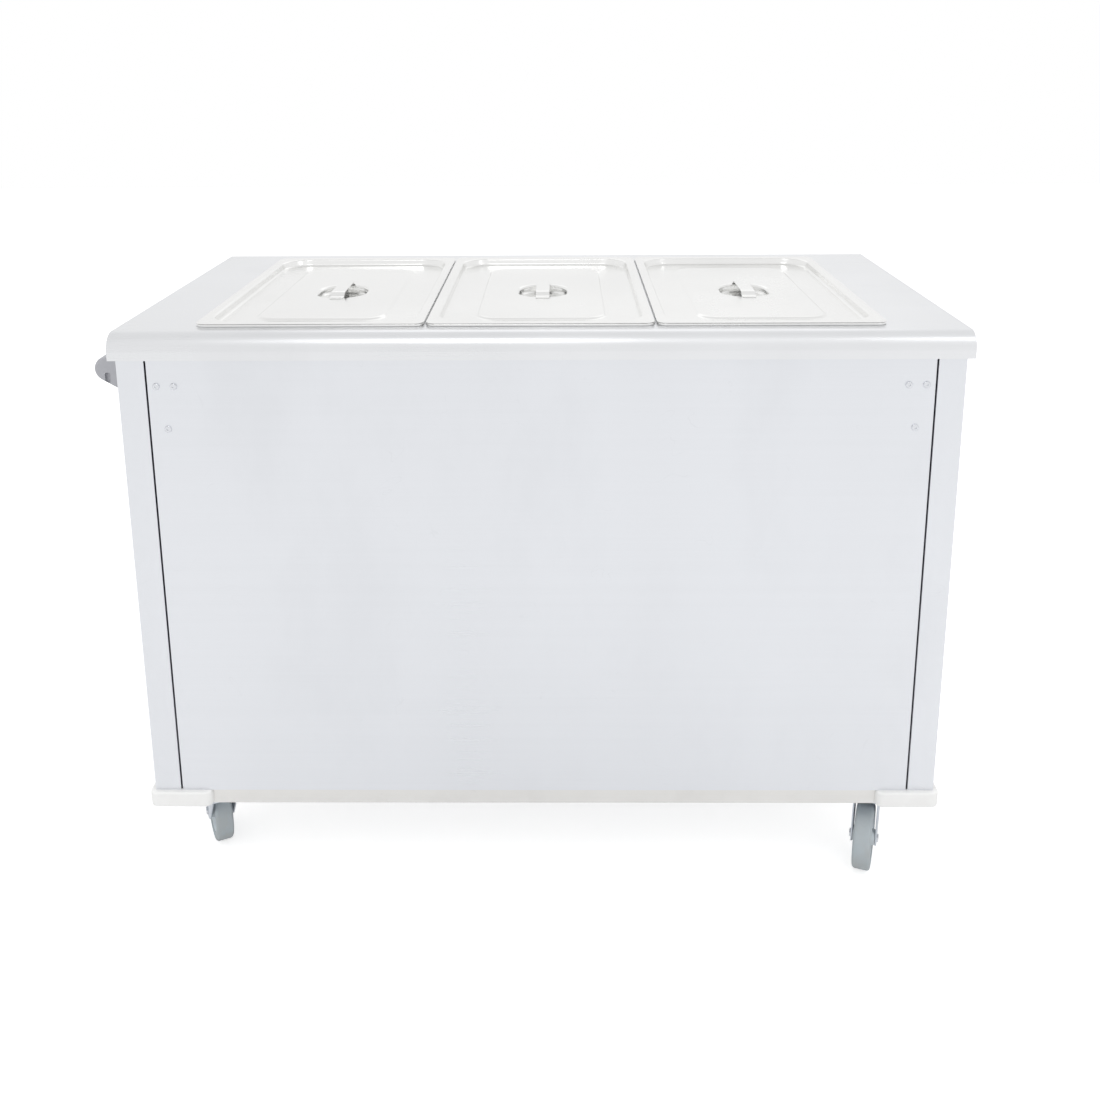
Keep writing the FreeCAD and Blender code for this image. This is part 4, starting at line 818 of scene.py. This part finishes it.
def make_fork(corner, stand, axle, sizes):
    """Pressed yoke, swivel head, axle bolt and nut."""
    outer = sizes.leg_gap / 2 + sizes.leg_sheet
    bm = bmesh.new()
    crown = bmesh.ops.create_grid(bm, x_segments=1, y_segments=1, size=0.5)["verts"]
    bmesh.ops.scale(bm, vec=(2 * sizes.crown_half, 2 * outer, 1), verts=crown)
    bmesh.ops.translate(bm, vec=(0, 0, sizes.crown_top), verts=crown)
    bends = [edge for edge in bm.edges
             if abs(edge.verts[0].co.y - edge.verts[1].co.y) < MM]

    def leg_end(spot):
        return (sizes.trail + math.copysign(sizes.boss, spot.x), spot.y, sizes.wheel_radius - sizes.boss)

    lowest = [end for bend in bends for edge in grow(bm, [bend], leg_end) for end in edge.verts]
    face_upward(bm)
    round_corners(bm, lowest, 0.94 * sizes.boss, 8)
    round_over(bm, bends, 2 * sizes.leg_sheet, 4)
    move(bm, stand)
    settle(bm, corner + "_fork_yoke", corner + "_swivel", "zinc_steel",
           [corner + "_fork"], sheet=sizes.leg_sheet, edge=0.5 * MM)
    bm = bmesh.new()
    race = sizes.race
    turned(bm, [(6 * MM, sizes.crown_top - 0.2 * MM), (race - 3 * MM, sizes.crown_top - 0.2 * MM),
                (race, sizes.crown_top + 2 * MM), (race, sizes.head_top - 1.6 * MM),
                (race - 1.6 * MM, sizes.head_top), (race - 6 * MM, sizes.head_top),
                (6 * MM, sizes.head_top)], 56, closed=True)
    close_shell(bm, stand)
    settle(bm, corner + "_swivel_head", corner + "_swivel", "zinc_steel")
    bm = bmesh.new()
    raised_disc(bm, 6, 7 * MM, outer, outer + 2.6 * MM, 0.6 * MM, 2)
    move(bm, Matrix.Rotation(math.pi, 4, "X"))
    raised_disc(bm, 6, 7 * MM, outer, outer + 2.6 * MM, 0.6 * MM, 2)
    turned(bm, [(0, -outer - 2.2 * MM), (4 * MM, -outer - 2.2 * MM), (4 * MM, outer + 2.2 * MM),
                (0, outer + 2.2 * MM)], 24)
    close_shell(bm, axle)
    settle(bm, corner + "_axle_bolt", corner + "_swivel", "screw_steel")


def make_wheel(corner, axle, sizes):
    """Moulded centre with a rim, a dished web, ribs and a boss."""
    rim = sizes.wheel_radius - sizes.tyre_depth
    half = sizes.tyre_width / 2 - 1.5 * MM
    boss = 13 * MM
    reach = sizes.leg_gap / 2 - 0.6 * MM
    bore = 4.2 * MM
    bm = bmesh.new()
    side = [(rim, half - 0.8 * MM), (rim - 0.8 * MM, half), (rim - 3.6 * MM, half),
            (rim - 5 * MM, half - 5 * MM), (boss + 3 * MM, half - 6.6 * MM), (boss, half - 4 * MM),
            (boss - 1 * MM, reach - 1 * MM), (boss - 2 * MM, reach), (bore, reach)]
    back = [(radius, -level) for radius, level in reversed(side)]
    turned(bm, side + back, 60, closed=True)
    for index in range(RIBS):
        rib = block(bm, (boss - 2 * MM, -1.3 * MM, 3 * MM - half), (rim - 3 * MM, 1.3 * MM, half - 3 * MM))
        move(bm, Matrix.Rotation(math.tau * index / RIBS, 4, "Z"), rib)
    close_shell(bm, axle)
    settle(bm, corner + "_wheel_moulding", corner + "_wheel", "wheel_plastic",
           [corner + "_wheel_core"])


def make_tyre(corner, axle, sizes):
    """Rubber tyre with round shoulders and a fine moulded step on each side."""
    outer = sizes.wheel_radius
    inner = outer - sizes.tyre_depth
    half = sizes.tyre_width / 2
    round_by = sizes.shoulder
    bm = bmesh.new()
    side = [(outer, 0)]
    for index in range(6):
        angle = math.pi / 2 * (1 - index / 5)
        side.append((outer - round_by + round_by * math.sin(angle),
                     half - round_by + round_by * math.cos(angle)))
    side += [(inner + 5 * MM, half), (inner + 4.4 * MM, half - 0.7 * MM), (inner, half - 0.7 * MM)]
    back = [(radius, -level) for radius, level in reversed(side[1:])]
    turned(bm, side + back, 72, closed=True)
    close_shell(bm, axle)
    settle(bm, corner + "_tyre_ring", corner + "_wheel", "tyre_rubber",
           [corner + "_tyre"])


class TROLLEY_OT_castors(bpy.types.Operator):
    """Model the forks, wheel centres and tyres of the four castors"""

    bl_idname = "trolley.castors"
    bl_label = "Castors"

    def execute(self, context):
        sizes = context.scene.trolley_castors
        for corner in CASTORS:
            across = sizes.spread_x if corner.endswith("right") else -sizes.spread_x
            along = sizes.spread_y if corner.startswith("rear") else -sizes.spread_y
            stand = (Matrix.Translation((CENTRE_X + across, CENTRE_Y + along, 0))
                     @ Matrix.Rotation(getattr(sizes, corner), 4, "Z"))
            axle = (stand @ Matrix.Translation((sizes.trail, 0, sizes.wheel_radius))
                    @ Matrix.Rotation(math.pi / 2, 4, "X"))
            make_fork(corner, stand, axle, sizes)
            make_wheel(corner, axle, sizes)
            make_tyre(corner, axle, sizes)
        return {"FINISHED"}


def screw_head(bm, sizes):
    """Domed head with a hexagon socket, on the Z axis."""
    before = set(bm.verts)
    raised_disc(bm, 36, sizes.screw_radius, 0, sizes.screw_height, 0.82 * sizes.screw_height, 5)
    mine = [vertex for vertex in bm.verts if vertex not in before]
    crown = max((face for vertex in mine for face in vertex.link_faces),
                key=lambda face: (round(face.calc_center_median().z, 6), face.calc_area()))
    outline = list(crown.edges)
    level = crown.calc_center_median().z
    bmesh.ops.delete(bm, geom=[crown], context="FACES_ONLY")
    for depth in (0, 1.3 * MM):
        outline = grow(bm, outline, on_hexagon(1.9 * MM, level - depth))
    bmesh.ops.edgeloop_fill(bm, edges=outline)
    return [vertex for vertex in bm.verts if vertex not in before]


class TROLLEY_OT_screws(bpy.types.Operator):
    """Model the six dome-head screws of the customer panel"""

    bl_idname = "trolley.screws"
    bl_label = "Panel screws"

    def execute(self, context):
        sizes = context.scene.trolley_fittings
        face_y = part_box("customer_panel")[0].y
        middle = (sizes.screw_outer + sizes.screw_inner) / 2
        places = ((sizes.screw_outer, sizes.screw_upper), (sizes.screw_inner, sizes.screw_upper),
                  (middle, sizes.screw_lower))
        bm = bmesh.new()
        for sign in (-1, 1):
            for number, (across, drop) in enumerate(places):
                made = screw_head(bm, sizes)
                spot = Vector((CENTRE_X + sign * across, face_y, TOP_LEVEL - drop))
                spun = Matrix.Rotation(0.4 + number * 0.9 + sign, 4, "Z")
                move(bm, Matrix.Translation(spot) @ TOWARD_CUSTOMER @ spun, made)
        settle(bm, "panel_screw_heads", "cabinet", "screw_steel", ["panel_screws"])
        return {"FINISHED"}


def flute(bm, count, depth, low, high, least=0.0):
    """Press even grooves into the part of a turned solid between two levels."""
    for vertex in bm.verts:
        if low < vertex.co.z < high and vertex.co.xy.length > least:
            wave = 0.5 + 0.5 * math.cos(count * math.atan2(vertex.co.y, vertex.co.x))
            vertex.co.xy *= 1 - depth * wave


def make_knob(name, spot, sizes):
    """Knob with a flat skirt, a fluted grip and a raised pointer."""
    bm = bmesh.new()
    gap = 0.5 * MM
    turned(bm, [(sizes.knob_skirt - 1.5 * MM, gap), (sizes.knob_skirt, gap + 1 * MM),
                (sizes.knob_skirt, gap + 3 * MM), (sizes.knob_skirt - 1 * MM, gap + 4 * MM),
                (sizes.knob_barrel, gap + 4.4 * MM),
                (sizes.knob_barrel - 0.8 * MM, sizes.knob_height - 1 * MM),
                (sizes.knob_barrel - 1.8 * MM, gap + sizes.knob_height), (0, gap + sizes.knob_height)], 96)
    flute(bm, count=24, depth=0.035, low=gap + 4.2 * MM, high=1, least=sizes.knob_barrel - 1.4 * MM)
    bmesh.ops.edgeloop_fill(bm, edges=[edge for edge in bm.edges if edge.is_boundary])
    close_shell(bm, spot)
    settle(bm, name + "_grip", name, "knob_plastic", [name])
    bm = bmesh.new()
    top = gap + sizes.knob_height
    block(bm, (-1.1 * MM, -sizes.knob_barrel + 1 * MM, top - 1 * MM), (1.1 * MM, -3 * MM, top + 0.5 * MM))
    round_over(bm, [edge for edge in bm.edges if edge.verts[0].co.z + edge.verts[1].co.z > 2 * top],
               0.3 * MM, 2)
    move(bm, spot)
    settle(bm, name + "_pointer", name, "mark_print")


def print_scale(name, spot, sizes):
    """Printed ticks round a knob, longer at every third one."""
    bm = bmesh.new()
    for index in range(TICKS):
        reach = 4.5 * MM if index % 3 == 0 else 2.6 * MM
        inner = sizes.knob_skirt + 2 * MM
        tick = block(bm, (-0.35 * MM, -inner - reach, 0.01 * MM), (0.35 * MM, -inner, 0.12 * MM))
        move(bm, Matrix.Rotation(math.radians(TICK_STEP * index), 4, "Z"), tick)
    move(bm, spot)
    settle(bm, name, "cabinet", "knob_plastic")


def make_lamps(face, sizes):
    """Domed lenses in bright bezels."""
    low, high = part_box("indicator_lamps")
    level = middle_of("indicator_lamps")[2]
    lens, bezel = bmesh.new(), bmesh.new()
    for middle in (low.x + sizes.lamp_radius, high.x - sizes.lamp_radius):
        spot = Matrix.Translation((middle, face, level)) @ TOWARD_OPERATOR
        for bm, profile in ((lens, [(5.4, 1), (5.3, 2.4), (4.3, 3.3), (2.6, 3.85), (0, 4)]),
                            (bezel, [(5.3, 0.4), (5.5, 2.1), (6.3, 2.3), (7.2, 1.6), (7.5, 0.6),
                                     (7.5, 0.01)])):
            before = set(bm.verts)
            turned(bm, [(radius * MM, height * MM) for radius, height in profile], 40)
            move(bm, spot, [vertex for vertex in bm.verts if vertex not in before])
    for bm in (lens, bezel):
        holes = [edge for edge in bm.edges if edge.is_boundary]
        bmesh.ops.holes_fill(bm, edges=holes, sides=0)
        close_shell(bm)
    settle(lens, "lamp_lenses", "cabinet", "lamp_lens", ["indicator_lamps"])
    settle(bezel, "lamp_bezels", "cabinet", "screw_steel")


def make_gland(face):
    """Hexagon body and ribbed dome nut round the mains lead's empty hole."""
    bm = bmesh.new()
    bore = 4.5 * MM
    turned(bm, [(bore, -12 * MM), (7.8 * MM, -12 * MM), (7.8 * MM, 5 * MM), (8.6 * MM, 5.2 * MM),
                (8.6 * MM, 11 * MM), (7.4 * MM, 13.6 * MM), (5.6 * MM, 14.9 * MM), (bore, 15 * MM)],
           72, closed=True)
    flute(bm, count=18, depth=0.05, low=5.1 * MM, high=12 * MM)
    for base, top in ((0.02 * MM, 5 * MM), (-6.2 * MM, -1.25 * MM)):
        add_nut(bm, base, top)
    close_shell(bm, on_operator_side("mains_gland", face))
    settle(bm, "mains_gland_body", "cabinet", "knob_plastic", ["mains_gland"])


def add_nut(bm, base, top):
    """Six-sided nut with a round hole."""
    bore, across = 7.9 * MM, 12.6 * MM
    made = bmesh.ops.create_circle(bm, cap_ends=False, segments=24, radius=bore)["verts"]
    bmesh.ops.translate(bm, vec=(0, 0, base), verts=made)
    ring = linked_edges(made[0])
    for place in (on_hexagon(across, base), on_hexagon(across, top - 0.4 * MM),
                  on_hexagon(across - 0.4 * MM, top), on_circle(bore, top), on_circle(bore, base)):
        ring = grow(bm, ring, place)


class TROLLEY_OT_controls(bpy.types.Operator):
    """Model the knobs, their printed scales, the lamps and the mains gland"""

    bl_idname = "trolley.controls"
    bl_label = "Controls"

    def execute(self, context):
        sizes = context.scene.trolley_fittings
        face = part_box("control_fascia")[1].y
        for name in ("cupboard_knob", "well_knob"):
            spot = on_operator_side(name, face)
            make_knob(name, spot, sizes)
            print_scale(name + "_scale", spot, sizes)
        make_lamps(face, sizes)
        make_gland(face)
        return {"FINISHED"}


class TROLLEY_OT_door_pulls(bpy.types.Operator):
    """Model the pressed finger cups of the two doors"""

    bl_idname = "trolley.door_pulls"
    bl_label = "Door pulls"

    def execute(self, context):
        sizes = context.scene.trolley_fittings
        for side in ("left", "right"):
            node = side + "_door_pull"
            spot = on_operator_side(node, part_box(node)[1].y)
            cup_width = sizes.pull_width - 2 * sizes.pull_flange
            cup_height = sizes.pull_height - 2 * sizes.pull_flange
            bm = bmesh.new()
            _, rim, mouth, cup = pressed_rings(bm, (0, 0), [
                (-1 * MM, sizes.pull_width, sizes.pull_height, 6 * MM),
                (0, sizes.pull_width - 1 * MM, sizes.pull_height - 1 * MM, 5.5 * MM),
                (0, cup_width, cup_height, 7 * MM),
                (1 * MM - sizes.pull_depth, cup_width - 3 * MM, cup_height - 3 * MM, 5.5 * MM)])
            bmesh.ops.edgeloop_fill(bm, edges=cup)
            face_upward(bm)
            round_over(bm, cup, 3 * MM, 4)
            round_over(bm, mouth, 1.2 * MM, 3)
            round_over(bm, rim, 0.4 * MM, 2)
            move(bm, spot)
            settle(bm, node + "_cup", side + "_door", "pressed_steel", [node],
                   sheet=0.8 * MM)
        return {"FINISHED"}


def ray_kinds(tree):
    """Light path values: seen by the camera, also through glass, and seen by a shiny surface."""
    rays = add(tree, "LightPath").outputs
    seen = calculate(tree, "MAXIMUM", rays["Is Camera Ray"], rays["Is Transmission Ray"])
    return seen, rays["Is Glossy Ray"]


def lay_floor(sizes):
    """Pale floor that looks white to the camera and to metal, and keeps a faint shadow."""
    bm = bmesh.new()
    bmesh.ops.create_grid(bm, x_segments=2, y_segments=2, size=sizes.floor_size)
    floor = drawn_object(bm, "studio_floor")
    material, tree, shader = new_material("studio_floor_white")
    shader.inputs["Base Color"].default_value = (*(value * 0.84 for value in sizes.floor), 1.0)
    shader.inputs["Roughness"].default_value = 0.9
    shader.inputs["Specular IOR Level"].default_value = 0.0
    seen, shiny = ray_kinds(tree)
    glow = calculate(tree, "MULTIPLY_ADD", seen, 0.6, calculate(tree, "MULTIPLY", shiny, 0.2))
    tree.links.new(glow, shader.inputs["Emission Strength"])
    shader.inputs["Emission Color"].default_value = (1.0, 1.0, 1.0, 1.0)
    floor.data.materials.append(material)


def light_world(context):
    """White all round for the camera and for metal, a little darker straight above."""
    world = bpy.data.worlds.new("studio_world")
    context.scene.world = world
    world.use_nodes = True
    tree = world.node_tree
    tree.nodes.clear()
    seen, shiny = ray_kinds(tree)
    up = add(tree, "SeparateXYZ", {0: add(tree, "TexCoord").outputs["Generated"]}).outputs["Z"]
    dim = stretch_between(tree, up, 0.35, 0.95, 0.95, 0.88)
    glossy = calculate(tree, "MULTIPLY", shiny, dim)
    others = calculate(tree, "SUBTRACT", 1.0, calculate(tree, "MAXIMUM", seen, shiny))
    level = calculate(tree, "ADD", calculate(tree, "ADD", seen, glossy), others)
    background = add(tree, "Background", {"Color": (1.0, 1.0, 1.0, 1.0), "Strength": level})
    out = add(tree, "OutputWorld")
    tree.links.new(background.outputs[0], out.inputs["Surface"])


def hang_lamps():
    """Two soft boxes over the customer side and one behind."""
    for name, place, size, power in (
            ("soft_box_front_left", (-0.25, -1.5, 2.7), (0.8, 0.8), 3.6),
            ("soft_box_front_right", (1.41, -1.3, 2.5), (0.35, 0.8), 1.6),
            ("soft_box_rear", (0.2, 2.4, 2.6), (2.4, 1.4), 3.0)):
        lamp = bpy.data.lights.new(name, "AREA")
        lamp.shape = "RECTANGLE"
        lamp.size, lamp.size_y = size
        lamp.energy = power
        stand = stood_in_scene(name, lamp)
        stand.location = place
        aim = Vector((CENTRE_X, CENTRE_Y, 0.6)) - Vector(place)
        stand.rotation_euler = aim.to_track_quat("-Z", "Y").to_euler()


def place_camera(context, sizes):
    """Camera at the photograph's viewing angle."""
    lens = bpy.data.cameras.new("photo_camera")
    lens.sensor_width = 36.0
    lens.lens = sizes.focal
    lens.shift_y = sizes.drop
    camera = stood_in_scene("photo_camera", lens)
    aim = (Matrix.Rotation(sizes.heading, 4, "Z") @ Matrix.Rotation(math.pi / 2 - sizes.tilt, 4, "X")
           @ Matrix.Rotation(sizes.roll, 4, "Z"))
    camera.matrix_world = Matrix.Translation(sizes.eye) @ aim
    context.scene.camera = camera


class TROLLEY_OT_studio(bpy.types.Operator):
    """Set up the floor, the lamps, the world and the camera"""

    bl_idname = "trolley.studio"
    bl_label = "Studio"

    def execute(self, context):
        sizes = context.scene.trolley_studio
        lay_floor(sizes)
        light_world(context)
        hang_lamps()
        place_camera(context, sizes)
        context.scene.view_settings.view_transform = "Standard"
        return {"FINISHED"}


OPERATORS = (TROLLEY_OT_frame_finishes, TROLLEY_OT_pans, TROLLEY_OT_lids, TROLLEY_OT_castors,
             TROLLEY_OT_screws, TROLLEY_OT_controls, TROLLEY_OT_door_pulls, TROLLEY_OT_studio)


class TROLLEY_PT_pieces(bpy.types.Panel):
    """Lists the trolley's operators and their sizes"""

    bl_idname = "TROLLEY_PT_pieces"
    bl_label = "Hostess trolley"
    bl_space_type = "VIEW_3D"
    bl_region_type = "UI"
    bl_category = "Trolley"

    def draw(self, context):
        for operator in OPERATORS:
            self.layout.operator(operator.bl_idname)
        for group in PROPERTY_GROUPS:
            box = self.layout.box()
            box.label(text=group.replace("_", " ").capitalize())
            settings = getattr(context.scene, group)
            for key in settings.bl_rna.properties.keys():
                if key not in ("rna_type", "name"):
                    box.prop(settings, key)


CLASSES = (*PROPERTY_GROUPS.values(), *OPERATORS, TROLLEY_PT_pieces)


def register():
    """Register the classes and hang the property groups on the scene."""
    for made in CLASSES:
        bpy.utils.register_class(made)
    for name, group in PROPERTY_GROUPS.items():
        setattr(bpy.types.Scene, name, bpy.props.PointerProperty(type=group))


def unregister():
    """Take the classes and property groups off again."""
    for name in PROPERTY_GROUPS:
        delattr(bpy.types.Scene, name)
    for made in reversed(CLASSES):
        bpy.utils.unregister_class(made)


def main():
    """Build every piece in order."""
    register()
    for operator in OPERATORS:
        family, action = operator.bl_idname.split(".")
        getattr(getattr(bpy.ops, family), action)()


if __name__ == "__main__":
    main()
